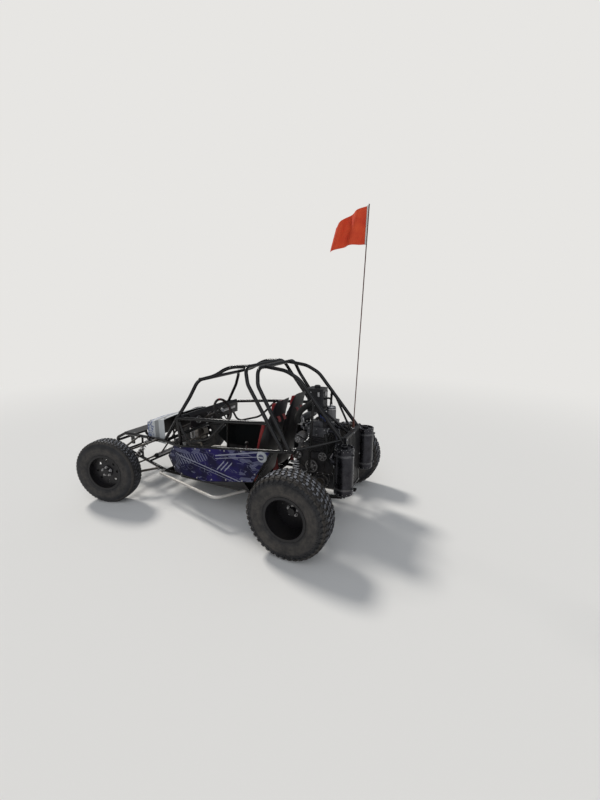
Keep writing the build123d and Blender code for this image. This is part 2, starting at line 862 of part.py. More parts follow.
def side_cut(corners, half_reach=900, mode=Mode.INTERSECT):
    """Keeps or cuts a side-view outline, whose columns are place behind the rear axle and height."""
    with BuildSketch(Plane.YZ, mode=Mode.PRIVATE) as outline:
        with BuildLine():
            Polyline(*[(rear_axle_y + back, up) for back, up in corners], close=True)
        make_face()
    extrude(outline.sketch, amount=half_reach, both=True, mode=mode)


panel_line = [rail_at(cowl_low, waist_front, panel_nose_back - panel_rim), waist_front, hoop_foot]
with BuildPart() as side_panel:
    plan_band(panel_line, main_r + panel_gap, sheet, panel_low_front_up - panel_rim,
              waist_rear_up + panel_rim)
    side_cut(panel_outline)
filler_foot = rail_at(waist_front, hoop_foot, filler_back)
filler_out = Vector(hoop_foot.Y - waist_front.Y, waist_front.X - hoop_foot.X, 0).normalized()
filler_seat = Vector(filler_foot.X, filler_foot.Y, filler_up) + filler_out * (main_r + panel_gap)
with BuildPart() as side_panels:
    add(side_panel.part)
    mirror(side_panel.part, about=Plane.YZ)
    tube([filler_seat, filler_seat + filler_out * (sheet + filler_h)], filler_r)
    tube([filler_seat, filler_seat + filler_out * (sheet + filler_h + filler_grip_h)], filler_grip_r)
save(side_panels, "side_panels")

with BuildPart() as floor_pan:
    pan_front, pan_rear = rear_axle_y + floor_front_back, rear_axle_y + kick_foot_back
    pan_half = floor_half - pan_inset
    with BuildSketch(Plane.XY.offset(floor_up - main_r - joint_gap - sheet)) as pan:
        with BuildLine():
            Polyline((-floor_front_half, pan_front), (floor_front_half, pan_front),
                     (pan_half, pan_rear), (-pan_half, pan_rear), close=True)
        make_face()
    extrude(amount=sheet)
save(floor_pan, "floor_pan")


def hood_section(back, top, inset, low):
    """Cross section of the hood at a station: upright sides and a crowned top."""
    rail = rail_at(cowl_low, nose_bend, back)
    half = rail.X - main_r - hood_side_gap - inset
    with BuildSketch(Plane(origin=(0, rear_axle_y + back, 0), x_dir=(1, 0, 0), z_dir=(0, -1, 0))) as section:
        with BuildLine():
            Line((-half, low), (half, low))
            Line((half, low), (half, top - inset))
            ThreePointArc((half, top - inset), (0, top + hood_crown - inset), (-half, top - inset))
            Line((-half, top - inset), (-half, low))
        make_face()
    return section.sketch


hood_rear_back = cowl_back - main_r - joint_gap
with BuildPart() as hood:
    loft([hood_section(hood_rear_back, hood_rear_up, 0, hood_low_up),
          hood_section(hood_front_back, hood_front_up, 0, hood_low_up - hood_front_drop)])
    loft([hood_section(hood_rear_back + 1, hood_rear_up, sheet, hood_low_up - hood_skirt),
          hood_section(hood_front_back + sheet, hood_front_up, sheet, hood_low_up - hood_skirt)],
         mode=Mode.SUBTRACT)
save(hood, "hood")

slope = radians(column_slope)
wheel_centre = at(wheel_hub[0], wheel_hub[1], wheel_hub[2])
column_axis = Vector(0, -cos(slope), -sin(slope))
column_low = wheel_centre + column_axis * column_length
dash_front = at(0, pillar_back + main_r + joint_gap, rail_front_up + dash_front_rise)
dash_rear = at(0, dash_rear_back, dash_rear_up)
with BuildPart() as dash:
    with BuildSketch(Plane.YZ) as profile:
        with BuildLine():
            edge = [(dash_front.Y, dash_front.Z), (dash_rear.Y, dash_rear.Z)]
            edge += [(dash_rear.Y + run, dash_rear.Z - drop) for run, drop in (dash_lip, dash_skirt)]
            Polyline(*edge, *[(y - dash_skin[0], z - dash_skin[1]) for y, z in edge[::-1]], close=True)
        make_face()
    extrude(amount=rail_front_half - dash_inset, both=True)
    tubes(both(side_left[:1]) + screen_route + cross_routes[:1], joint_gap, Mode.SUBTRACT)
    tube([wheel_centre, column_low], column_r + column_slot, mode=Mode.SUBTRACT)
save(dash, "dash")

# Deck on the sloping nose rails, which spread rearwards
deck_run = (nose_bend - nose_top) * deck_share
deck_seat = Plane(origin=(0, nose_top.Y, nose_top.Z), x_dir=(1, 0, 0), z_dir=(0, -deck_run.Z, deck_run.Y))
deck_front_half = nose_half + deck_overlap
deck_rear_half = deck_front_half + deck_run.X
with BuildPart() as nose_deck:
    with BuildSketch(deck_seat.offset(main_r + joint_gap)):
        with BuildLine():
            Polyline((-deck_front_half, 0), (deck_front_half, 0), (deck_rear_half, deck_run.Y),
                     (-deck_rear_half, deck_run.Y), close=True)
        make_face()
    extrude(amount=sheet)
save(nose_deck, "nose_deck")

# Seats and driver's controls
seat_floor = floor_up + main_r + joint_gap
seat_front, seat_rear = [(back, seat_floor) for back in seat_foot_backs]
bolster_feet = [(back, seat_floor + bolster_foot_rise) for back in seat_foot_backs]


def seat_slab(corners, centre_x, width):
    """Upright slab of the seat cut to a side-view outline."""
    with BuildSketch(Plane.YZ.offset(centre_x - width / 2), mode=Mode.PRIVATE) as outline:
        with BuildLine():
            Polyline(*[(rear_axle_y + back, up) for back, up in corners], close=True)
        make_face()
    extrude(outline.sketch, amount=width)


with BuildPart() as seat:
    seat_slab([seat_front, *cushion_outline, seat_rear], seat_offset, seat_w - 2 * bolster_w + bolster_lap)
    for edge_sign in (-1, 1):
        seat_slab([bolster_feet[0], *bolster_outline, bolster_feet[1]],
                  seat_offset + edge_sign * (seat_w - bolster_w) / 2, bolster_w)
save_pair(seat, "seats")

grip_plane = Plane(origin=wheel_centre, x_dir=(1, 0, 0), z_dir=-column_axis)
with BuildPart() as steering_wheel:
    with BuildSketch(Plane(origin=wheel_centre + grip_plane.x_dir * wheel_r, x_dir=(1, 0, 0),
                           z_dir=grip_plane.y_dir), mode=Mode.PRIVATE) as grip:
        Circle(wheel_grip_r)
    revolve(grip.sketch, axis=Axis(wheel_centre, grip_plane.z_dir))
    for turn in spoke_turns:
        spoke = grip_plane.x_dir * cos(radians(turn)) + grip_plane.y_dir * sin(radians(turn))
        tube([wheel_centre + column_axis * spoke_dish, wheel_centre + spoke * wheel_r], spoke_r)
    tube([wheel_centre + column_axis * end for end in wheel_boss_ends], wheel_boss_r)
save(steering_wheel, "steering_wheel")

pinion = at(pinion_across, rack_back, rack_up)
hanger_low = on_line(wheel_centre, column_low, column_hanger_up)
with BuildPart() as steering_column:
    tube([wheel_centre + column_axis * (wheel_boss_ends[1] + joint_gap), column_low], column_r)
    tube([column_low, pinion], lower_shaft_r)
    tube([hanger_low, at(wheel_hub[0], pillar_back, rail_front_up)], hanger_r)
    tubes(cross_routes[:1], joint_gap, Mode.SUBTRACT)
    tube([at(-rack_half, rack_back, rack_up), at(rack_half, rack_back, rack_up)], rack_case_r + joint_gap,
         mode=Mode.SUBTRACT)
save(steering_column, "steering_column")

pedal_floor = floor_up - main_r + joint_gap
with BuildPart() as pedals:
    for across in pedal_places:
        foot = at(across, pedal_back, pedal_floor)
        head = foot + Vector(0, -pedal_lean, pedal_rise)
        tube([foot + Vector(0, 0, pedal_r), head], pedal_r)
        with Locations(head):
            Box(*pedal_pad)
    with Locations(at(pedal_places[1], pedal_back, pedal_floor + pedal_base[2] / 2)):
        Box(*pedal_base)
save(pedals, "pedals")

# Engine and gearbox
gearbox_top = engine_low_up - joint_gap
with BuildPart() as gearbox:
    with Locations(at(0, gearbox_back, (gearbox_top + gearbox_low_up) / 2)):
        Box(gearbox_case_w, gearbox_l, gearbox_top - gearbox_low_up)
    tube([at(-gearbox_w / 2, 0, rear_tyre_r), at(gearbox_w / 2, 0, rear_tyre_r)], gearbox_nose_r)
    bar_end = rail_at(floor_rear, tail_low, gearbox_bar_back) - Vector(main_r + gearbox_bar_gap, 0, 0)
    tube([bar_end, mirrored([bar_end])[0]], gearbox_bar_r)
save(gearbox, "gearbox")

with BuildPart() as engine_block:
    with Locations(at(engine_across, engine_back, (engine_low_up + barrel_low_up) / 2)):
        Box(engine_w, engine_l, barrel_low_up - engine_low_up)
    chamfer(engine_block.edges().filter_by(Axis.Z), crank_chamfer)
    with Locations(at(engine_across, head_back, (barrel_low_up + engine_high_up) / 2)):
        Box(barrel_w - 2 * fin_reach, barrel_l - 2 * fin_reach, engine_high_up - barrel_low_up)
    fin_pitch = (engine_high_up - barrel_low_up) / fin_count
    for fin in range(fin_count):
        with Locations(at(engine_across, head_back, barrel_low_up + (fin + 0.5) * fin_pitch)):
            Box(barrel_w, barrel_l, fin_t)
    for across_pulley, back_pulley, up_pulley, pulley_r in pulleys:
        hub = at(engine_across + engine_w / 2 - across_pulley, back_pulley, up_pulley)
        inner = hub + Vector(across_pulley + pulley_gap, 0, 0)
        tube([hub, inner], pulley_r * pulley_hub_share)
        tube([inner, inner + Vector(pulley_w, 0, 0)], pulley_r)
save(engine_block, "engine_block")

head_low_up = engine_high_up + joint_gap
cover_top_up = head_low_up + head_h + cover_h
plenum_up = head_low_up + head_h + plenum_rise
with BuildPart() as engine_head:
    with Locations(at(engine_across, head_back, head_low_up + head_h / 2)):
        Box(head_w, head_l, head_h)
    with Locations(at(engine_across, head_back, head_low_up + head_h + cover_h / 2)):
        Box(cover_w, cover_l, cover_h)
    fillet(engine_head.edges().group_by(Axis.Z)[-1], cover_r)
    plenum = at(engine_across, plenum_back, plenum_up)
    tube([plenum - Vector(plenum_half, 0, 0), plenum + Vector(plenum_half, 0, 0)], plenum_r)
    for port in port_places:
        tube([at(port, head_back - head_l / 2 + runner_lap, port_up), at(port, plenum_back, port_up),
              at(port, plenum_back, plenum_up)], runner_r, [runner_bend])
    head_top_up = head_low_up + head_h
    tube([at(0, breather_back, head_top_up - breather_lap), at(0, breather_back, head_top_up + breather_h)],
         breather_r)
save(engine_head, "engine_head")

# Air box over the engine, on a leg from the cam cover, with its cap
with BuildPart() as tank:
    with Locations(at(0, airbox_back, (airbox_low_up + airbox_high_up) / 2)):
        Box(airbox_w, airbox_l, airbox_high_up - airbox_low_up)
    fillet(tank.edges().filter_by(Axis.Z), airbox_corner_r)
    with Locations(at(0, airbox_back, airbox_high_up + airbox_cap_h / 2)):
        Cylinder(airbox_cap_r, airbox_cap_h)
    leg_ends = (cover_top_up + joint_gap, airbox_low_up + airbox_lap)
    tube([at(0, airbox_leg_back, up) for up in leg_ends], airbox_leg_r)
save(tank, "tank")

# Exhaust of one side: two header pipes that meet, and an upright silencer on the tail tube
merge = at(merge_half, merge_back, merge_up)
silencer_foot = at(silencer_half, silencer_back, silencer_low_up)
top = silencer_high_up - silencer_low_up
lid_r = silencer_r - lid_w
outlet_bore = outlet_r - outlet_wall
silencer_outline = [
    (0, 0), (silencer_r - lid_h, 0), (silencer_r, lid_h), (silencer_r, top), (lid_r, top),
    (lid_r, top - lid_h), (outlet_r, top - lid_h), (outlet_r, top + lid_h), (outlet_bore, top + lid_h),
    (outlet_bore, top - outlet_depth), (0, top - outlet_depth)]
header_mid_up = (port_up + merge_up) / 2 + header_rise
head_face = head_back + head_l / 2 + joint_gap
with BuildPart() as exhaust_side:
    revolved(silencer_outline, Plane(origin=silencer_foot, x_dir=(1, 0, 0), z_dir=(0, -1, 0)))
    for port in port_places[2:]:
        tube([at(port, head_face, port_up), at(port, head_face + header_reach, port_up),
              at((port + merge_half) / 2, merge_back, header_mid_up), merge], header_r, [34, 40])
    tube([merge + Vector(-merge_lap[0], 0, merge_lap[1]),
          at(silencer_half - collector_bend_in, merge_back, merge_up - collector_bend_drop),
          at(silencer_half, silencer_back - collector_end_in, merge_up - collector_end_drop)],
         collector_r, [32])
    for up in (silencer_low_up + bracket_low_rise, tail_up - bracket_high_drop):
        tube([at(tail_half, tail_back, up), at(silencer_half, silencer_back, up)], bracket_r)
    tubes(stay_left[:1], joint_gap, Mode.SUBTRACT)
save_pair(exhaust_side, "exhaust")

# Rear slatted guard between the silencers, on the tail's cross tubes
guard_y = rear_axle_y + tail_back + main_r + joint_gap
guard_low_up = cradle_up - main_r
guard_high_up = tail_up + main_r
guard_mid_up = (guard_low_up + guard_high_up) / 2
with BuildPart() as rear_guard:
    with BuildSketch(Plane.XZ.offset(-guard_y)) as frame:
        with Locations((0, guard_mid_up)):
            Rectangle(2 * guard_half, guard_high_up - guard_low_up)
            Rectangle(2 * (guard_half - guard_frame), guard_high_up - guard_low_up - 2 * guard_frame,
                      mode=Mode.SUBTRACT)
    extrude(amount=-guard_t)
    with BuildSketch(Plane.XZ.offset(-guard_y - (guard_t - slat_t) / 2)) as slats:
        with Locations((0, guard_mid_up)):
            with GridLocations(2 * (guard_half - guard_frame) / slat_count, 0, slat_count, 1):
                Rectangle(slat_w, guard_high_up - guard_low_up - guard_frame)
    extrude(amount=-slat_t)
save(rear_guard, "rear_guard")

# Whip and flag
whip_base = at(whip_across, tail_back, tail_up + main_r + joint_gap)
whip_top = at(whip_across, tail_back + whip_lean, whip_top_up)
whip_axis = (whip_top - whip_base).normalized()
with BuildPart() as whip:
    tube([whip_base, whip_top], whip_r)
    tube([whip_base, whip_base + whip_axis * whip_spring_l], whip_spring_r)
save(whip, "whip")
flag_edge = [whip_top - whip_axis * down for down in (flag_top_gap, flag_top_gap + flag_drop)]
with BuildPart() as flag:
    with BuildSketch(Plane.YZ.offset(whip_across - flag_thick / 2)) as cloth:
        with BuildLine():
            Polyline(*[(p.Y - whip_r - ball_gap, p.Z) for p in flag_edge],
                     (flag_edge[1].Y - flag_reach * flag_low_share, flag_edge[1].Z - flag_low_droop),
                     (flag_edge[0].Y - flag_reach, flag_edge[0].Z - flag_top_droop), close=True)
        make_face()
    extrude(amount=flag_thick)
save(flag, "flag")

# Tow eyes: a plate hung in the middle plane from the nose bar, and a flat one under the tail tube
front_eye = at(0, -wheelbase - nose_reach + main_r, nose_tip_up - cross_r - joint_gap)
rear_eye = at(0, tail_back + eye_reach / 2 - eye_lap, cradle_up - main_r - joint_gap)
with BuildPart() as tow_eyes:
    with BuildSketch(Plane.YZ.offset(-eye_t / 2)):
        with Locations((front_eye.Y, front_eye.Z - eye_reach / 2)):
            RectangleRounded(eye_w, eye_reach, eye_corner_r)
        with Locations((front_eye.Y, front_eye.Z - eye_reach + eye_edge)):
            Circle(eye_r, mode=Mode.SUBTRACT)
    extrude(amount=eye_t)
    with BuildSketch(Plane.XY.offset(rear_eye.Z - eye_t)):
        with Locations((0, rear_eye.Y)):
            RectangleRounded(eye_w, eye_reach, eye_corner_r)
        with Locations((0, rear_eye.Y + eye_reach / 2 - eye_edge)):
            Circle(eye_r, mode=Mode.SUBTRACT)
    extrude(amount=eye_t)
save(tow_eyes, "tow_eyes")
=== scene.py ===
"""Looks of a two-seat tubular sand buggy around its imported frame.

Metres, +X to the car's left, +Y rearwards, +Z up, ground at z = 0.
"""
import json
import math

import bmesh
import bpy
from mathutils import Matrix, Vector


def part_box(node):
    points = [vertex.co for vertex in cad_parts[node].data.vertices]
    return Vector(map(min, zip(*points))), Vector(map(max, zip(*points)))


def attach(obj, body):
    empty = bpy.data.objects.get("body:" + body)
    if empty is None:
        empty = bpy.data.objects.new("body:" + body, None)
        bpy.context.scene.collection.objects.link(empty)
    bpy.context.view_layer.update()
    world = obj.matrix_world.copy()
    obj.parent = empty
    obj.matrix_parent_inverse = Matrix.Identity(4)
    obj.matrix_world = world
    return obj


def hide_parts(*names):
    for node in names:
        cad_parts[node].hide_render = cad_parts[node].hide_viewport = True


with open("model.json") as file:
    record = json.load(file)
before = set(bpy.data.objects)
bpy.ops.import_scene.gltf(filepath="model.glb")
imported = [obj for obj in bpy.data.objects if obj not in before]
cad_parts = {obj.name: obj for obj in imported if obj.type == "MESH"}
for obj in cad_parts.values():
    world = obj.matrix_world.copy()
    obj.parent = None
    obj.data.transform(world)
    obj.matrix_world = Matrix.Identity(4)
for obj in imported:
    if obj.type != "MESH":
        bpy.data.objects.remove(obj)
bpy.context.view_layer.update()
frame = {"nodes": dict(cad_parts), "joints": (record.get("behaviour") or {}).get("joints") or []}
scene = bpy.context.scene

X, Y, Z = Vector((1, 0, 0)), Vector((0, 1, 0)), Vector((0, 0, 1))
joints = {joint["name"]: joint for joint in frame["joints"]}
MATERIALS = {}


def joint_at(name):
    """Place and axis of a joint."""
    return Vector(joints[name]["pos_m"]), Vector(joints[name]["axis"]).normalized()


axle_y = joint_at("roll_rear_left")[0].y


def at(across, back, up):
    """A point from its offset to the left, its distance behind the rear axle and its height."""
    return Vector((across, axle_y + back, up))


def turns(count, phase=0.0):
    """Angles of even steps round a circle, the first one a share of a step on."""
    return [2 * math.pi * (i + phase) / count for i in range(count)]


def linked(name, data):
    """An object for data, in the scene."""
    made = bpy.data.objects.new(name, data)
    scene.collection.objects.link(made)
    return made


# Node helpers
def put(tree, kind, *sources, **settings):
    """A node whose properties and sockets are set, or fed by other nodes; the bare sources go in order."""
    made = tree.nodes.new(kind)
    feeds = []
    for key, value in settings.items():
        if hasattr(made, key):
            setattr(made, key, value)
        else:
            feeds.append((made.inputs[key.replace("_", " ")], value))
    feeds += [(made.inputs[i], value) for i, value in enumerate(sources) if value is not None]
    for socket, value in feeds:
        value = getattr(value, "socket", value)
        if hasattr(value, "is_output"):
            tree.links.new(value, socket)
        else:
            socket.default_value = value
    return made


def read(tree, kind, output, *sources, **settings):
    """One output of a new node, ready for arithmetic."""
    return Reading(tree, put(tree, kind, *sources, **settings).outputs[output])


class Reading:
    """A value that nodes work out; arithmetic on it adds Math nodes."""

    def __init__(self, tree, socket):
        self.tree, self.socket = tree, socket

    def maths(self, operation, *others, clamp=False):
        return read(self.tree, "ShaderNodeMath", 0, self, *others, operation=operation, use_clamp=clamp)

    def __add__(self, other):
        return self.maths("ADD", other)

    def __sub__(self, other):
        return self.maths("SUBTRACT", other)

    def __rsub__(self, other):
        return self.maths("MULTIPLY_ADD", -1.0, other)

    def __mul__(self, other):
        return self.maths("MULTIPLY", other)

    def __rtruediv__(self, other):
        return read(self.tree, "ShaderNodeMath", 0, other, self, operation="DIVIDE")

    def __lt__(self, other):
        return self.maths("LESS_THAN", other)

    def __gt__(self, other):
        return self.maths("GREATER_THAN", other)

    def __or__(self, other):
        return self.maths("MAXIMUM", other)

    def __abs__(self):
        return self.maths("ABSOLUTE")

    def ramp(self, low, high, bottom=0.0, top=1.0, **settings):
        """The value brought from one range to another and held to its ends."""
        return read(self.tree, "ShaderNodeMapRange", 0, self, low, high, bottom, top, **settings)


def coordinate(tree, output="Object"):
    return Reading(tree, put(tree, "ShaderNodeTexCoord").outputs[output])


def parts_of(vector):
    """The X, Y and Z of a vector reading."""
    return [Reading(vector.tree, socket) for socket in put(vector.tree, "ShaderNodeSeparateXYZ", vector).outputs]


def noise(place, scale, detail, rough=0.5):
    return read(place.tree, "ShaderNodeTexNoise", "Fac", place, Scale=scale, Detail=detail, Roughness=rough)


def vector_maths(first, operation, second, output=0):
    return read(first.tree, "ShaderNodeVectorMath", output, first, second, operation=operation)


# Shared effects
def effect(name, **inputs):
    """A shader group with named numbers to set: its tree and their readings."""
    tree = bpy.data.node_groups.new(name, "ShaderNodeTree")
    for label, value in inputs.items():
        socket = tree.interface.new_socket(label.replace("_", " "), in_out="INPUT", socket_type="NodeSocketFloat")
        socket.default_value = value
    sockets = tree.nodes.new("NodeGroupInput").outputs
    return tree, *[Reading(tree, sockets[i]) for i in range(len(inputs))]


def give(tree, **readings):
    """Ends a group: its named outputs and what feeds them."""
    for label in readings:
        tree.interface.new_socket(label, in_out="OUTPUT", socket_type="NodeSocketFloat")
    result = tree.nodes.new("NodeGroupOutput")
    for label, reading in readings.items():
        tree.links.new(reading.socket, result.inputs[label])
    return tree


def make_dust():
    """Blown sand: thick low down and on faces that look up, broken up by noise."""
    tree, amount, full_below, none_above, upward, patch_size = effect(
        "dust", Amount=0.5, Full_Below=0.2, None_Above=1.2, Upward=0.4, Patch_Size=6.0)
    place = coordinate(tree)
    low = parts_of(place)[2].ramp(full_below, none_above, 1.0, 0.0)
    level = low + (parts_of(coordinate(tree, "Normal"))[2] | 0.0) * upward
    patches = noise(place, patch_size, 6.0, 0.65).ramp(0.36, 0.66, 0.25, 1.0)
    specks = noise(place, 180.0, 3.0).ramp(0.3, 0.7, 0.75, 1.15)
    return give(tree, Mask=(level * patches * specks).maths("MULTIPLY", amount, clamp=True))


def make_wear():
    """Chips and scratches: sharp small spots and long thin marks."""
    tree, amount, grain_size = effect("wear", Amount=0.3, Grain=45.0)
    place = coordinate(tree)
    spots = noise(place, grain_size, 5.0, 0.7)
    marks = noise(vector_maths(place, "MULTIPLY", (90.0, 9.0, 60.0)), 1.0, 2.0)
    chip = (spots - amount.ramp(0.0, 1.0, 0.74, 0.50)).maths("MULTIPLY", 16.0, clamp=True)
    line = (marks - 0.69).maths("MULTIPLY", 12.0, clamp=True)
    both = chip | line * amount
    return give(tree, Mask=both, Height=1.0 - both)


def make_grain():
    """Cast or moulded skin: fine noise for height and a slower one for tone."""
    tree, scale, tone_scale = effect("grain", Scale=400.0, Tone_Scale=9.0)
    place = coordinate(tree)
    return give(tree, Height=noise(place, scale, 4.0, 0.6), Tone=noise(place, tone_scale, 5.0, 0.6).ramp(0.3, 0.7))


def make_weave():
    """Plain weave from two crossed waves on the piece's own UV map, in metres."""
    tree, threads = effect("weave", Threads=900.0)
    across, along = [(part * threads).maths("SINE") for part in parts_of(coordinate(tree, "UV"))[:2]]
    gap = (abs(across) * abs(along)).maths("MULTIPLY_ADD", -1.0, 1.0, clamp=True)
    return give(tree, Height=(across * along).ramp(-1.0, 1.0), Gap=gap)


SAND = (0.50, 0.40, 0.29)
dust, wear, grain, weave = make_dust(), make_wear(), make_grain(), make_weave()


# Finishes
class Finish:
    """A material under construction: its tree and its Principled shader."""

    def __init__(self, name, **sockets):
        self.material = bpy.data.materials.new(name)
        self.material.use_nodes = True
        MATERIALS[name] = self.material
        self.tree = self.material.node_tree
        self.shader = self.tree.nodes["Principled BSDF"]
        for key, value in sockets.items():
            self.shader.inputs[key.replace("_", " ")].default_value = value

    def group(self, tree, **values):
        """A shared effect with this material's own values: the readings of its outputs by name."""
        made = put(self.tree, "ShaderNodeGroup", node_tree=tree, **values)
        return {socket.name: Reading(self.tree, socket) for socket in made.outputs}

    def to(self, reading, socket):
        """Feeds one of the shader's own sockets."""
        self.tree.links.new(reading.socket, self.shader.inputs[socket])

    def bump(self, height, strength, distance):
        """Feeds a height to the shader's normal."""
        self.to(read(self.tree, "ShaderNodeBump", 0, Strength=strength, Distance=distance, Height=height), "Normal")

    def mix(self, factor, first, second):
        """Colour mix; first and second are colours or readings."""
        first, second = [(*value, 1) if isinstance(value, tuple) else value for value in (first, second)]
        return read(self.tree, "ShaderNodeMix", 2, factor, None, None, None, None, None, first, second,
                    data_type="RGBA")

    def dusted(self, colour, sand=SAND, **values):
        """Lays dust over a colour and gives the dust's mask."""
        mask = self.group(dust, **values)["Mask"]
        self.to(self.mix(mask, colour, sand), "Base Color")
        return mask


def painted(name, colour, under, roughness, dusty, chipped, coat=0.0, metallic=0.0, sand=SAND, low=0.2,
            high=1.2, shine=0.32):
    """Painted metal: paint, chips down to what is under it, and dust on top."""
    made = Finish(name, Coat_Weight=coat, Metallic=metallic, Specular_IOR_Level=shine)
    chips = made.group(wear, Amount=chipped, Grain=45.0)
    if callable(colour):
        body = colour(made)
    else:
        light = tuple(min(1.0, c * 1.3 + 0.002) for c in colour)
        body = made.mix(made.group(grain, Scale=900.0, Tone_Scale=5.0)["Tone"], colour, light)
    mask = made.dusted(made.mix(chips["Mask"], body, under), sand, Amount=dusty, Full_Below=low, None_Above=high,
                       Upward=0.4)
    made.to(mask.ramp(0.0, 1.0, roughness, 0.9), "Roughness")
    made.bump(chips["Height"], 0.25, 0.0006)


def bare_metal(name, dark, light, roughness, dusty=0.2, metallic=1.0, scale=500.0, bump=0.12):
    """Bare or plated metal: toned by a slow noise, a fine skin, some dust."""
    made = Finish(name)
    skin = made.group(grain, Scale=scale, Tone_Scale=14.0)
    mask = made.dusted(made.mix(skin["Tone"], dark, light), Amount=dusty, Full_Below=0.2, None_Above=1.2,
                       Upward=0.5, Patch_Size=9.0)
    made.to(mask.ramp(0.0, 1.0, metallic, 0.0), "Metallic")
    made.to(skin["Tone"].ramp(0.0, 1.0, roughness, min(1.0, roughness + 0.18)), "Roughness")
    made.bump(skin["Height"], bump, 0.0008)


def moulded(name, dark, light, roughness, dusty, bump=0.2, high=1.2):
    """Moulded plastic or plain rubber."""
    made = Finish(name, Specular_IOR_Level=0.3)
    skin = made.group(grain, Scale=700.0, Tone_Scale=11.0)
    mask = made.dusted(made.mix(skin["Tone"], dark, light), Amount=dusty, Full_Below=0.15, None_Above=high,
                       Upward=0.4)
    made.to(mask.ramp(0.0, 1.0, roughness, 0.92), "Roughness")
    made.bump(skin["Height"], bump, 0.0006)


def woven(name, dark, light, threads, dusty):
    """Cloth or webbing with a plain weave on its UV map."""
    made = Finish(name, Sheen_Weight=0.25, Roughness=0.75)
    cloth = made.group(weave, Threads=threads)
    made.dusted(made.mix(cloth["Gap"], light, dark), Amount=dusty, Full_Below=0.1, None_Above=1.4, Upward=0.3)
    made.bump(cloth["Height"], 0.35, 0.0005)


def tyre_rubber(name, hub, axis, tread_r, sidewall_low, dusty):
    """Black rubber with sand caked on the wall and in the tread, by distance from the wheel's axis, and a painted sky
    highlight on the tread tops that face up.
    """
    made = Finish(name, Specular_IOR_Level=0.35)
    place = coordinate(made.tree)
    arm = vector_maths(place, "SUBTRACT", tuple(hub))
    along = vector_maths(arm, "DOT_PRODUCT", tuple(axis), "Value")
    radius = (vector_maths(arm, "DOT_PRODUCT", arm, "Value") - along * along).maths("SQRT")
    patch = noise(place, 16.0, 7.0, 0.7)
    blotch = patch.ramp(0.35, 0.68, 0.1, 1.0)
    wall = radius.ramp(tread_r - 0.055, sidewall_low, 0.05, 1.0)
    rings = (radius * 210.0).maths("SINE").ramp(-1.0, 1.0, 0.75, 1.0)
    caked = wall * rings * blotch * radius.ramp(0.212, 0.236, 0.30, 1.0)
    groove = radius.ramp(tread_r - 0.013, tread_r - 0.004, 0.55, 0.0) * (radius > tread_r - 0.03)
    mask = (caked | groove).maths("MULTIPLY", dusty, clamp=True)
    rubber = made.mix(patch.ramp(0.3, 0.75), (0.009, 0.009, 0.010), (0.030, 0.030, 0.033))
    # Painted highlight: the tread's outer skin turns pale bluish grey where it faces up, standing in for sky light on
    # it
    sunny = parts_of(coordinate(made.tree, "Normal"))[2].ramp(0.0, 0.9, 0.22, 1.0)
    painted_sky_highlight = radius.ramp(tread_r - 0.0040, tread_r - 0.0015, 0.0, 0.9) * sunny * blotch
    rubber = made.mix(painted_sky_highlight, rubber, (0.36, 0.37, 0.41))
    made.to(made.mix(mask, rubber, (0.115, 0.098, 0.080)), "Base Color")
    made.to(mask.ramp(0.0, 1.0, 0.62, 0.95), "Roughness")
    made.bump(noise(place, 420.0, 3.0), 0.3, 0.0007)


def panel_graphic(made):
    """Navy and purple ground with sweeping silver lines, a field of slanting hatches and loose shards."""
    place = coordinate(made.tree)
    across, y, up = parts_of(place)
    back = y - axle_y

    def line(start, rise, half, low, high):
        """Mask of a straight band with its height at the rear axle, its rise rearwards, half its width and its ends."""
        return (abs(up - (back * rise + start)) < half) * ((back > low) * (back < high))

    colour = made.mix(back.ramp(-1.5, -1.15), (0.004, 0.005, 0.038), (0.012, 0.007, 0.090))
    colour = made.mix(back.ramp(-1.0, -0.5), colour, (0.007, 0.007, 0.054))
    colour = made.mix(noise(place, 7.0, 3.0).ramp(0.42, 0.62, 0.0, 0.8), colour, (0.002, 0.002, 0.016))
    field = (back < -1.13) * (back > -1.62) * (up < back * 0.16 + 0.845) * (up > back * 0.30 + 0.930)
    plain = 1.0 - field
    flat = vector_maths(place, "MULTIPLY", (0.0, 0.55, 1.35))
    cells = read(made.tree, "ShaderNodeTexVoronoi", "Color", flat, Scale=21.0)
    cell = read(made.tree, "ShaderNodeSeparateColor", 0, cells)
    least = back.ramp(-0.98, -0.50, 0.90, 0.50)
    colour = made.mix((cell > least) * plain * 0.75, colour, (0.105, 0.110, 0.185))
    rims = read(made.tree, "ShaderNodeTexVoronoi", "Distance", flat, Scale=21.0, feature="DISTANCE_TO_EDGE")
    colour = made.mix((rims < 0.045) * (cell > least - 0.22) * plain * 0.6, colour, (0.16, 0.17, 0.25))
    hatch = (back * 150.0 + up * 95.0).maths("SINE") > 0.15
    colour = made.mix(hatch * field * 0.7, colour, (0.17, 0.18, 0.25))
    silver = line(0.905, 0.235, 0.0065, -1.02, -0.30)
    for values in ((0.842, 0.205, 0.0035, -1.02, -0.42), (0.300, -0.185, 0.0050, -1.60, -0.62),
                   (0.268, -0.185, 0.0022, -1.50, -0.70), (1.580, 1.060, 0.0085, -1.005, -0.905),
                   (1.527, 1.060, 0.0085, -0.955, -0.855), (1.474, 1.060, 0.0085, -0.905, -0.805)):
        silver = silver | line(*values)
    colour = made.mix(silver * 0.9, colour, (0.28, 0.29, 0.36))
    inner = parts_of(coordinate(made.tree, "Normal"))[0] * across < 0.0
    return made.mix(inner, colour, (0.006, 0.008, 0.009))


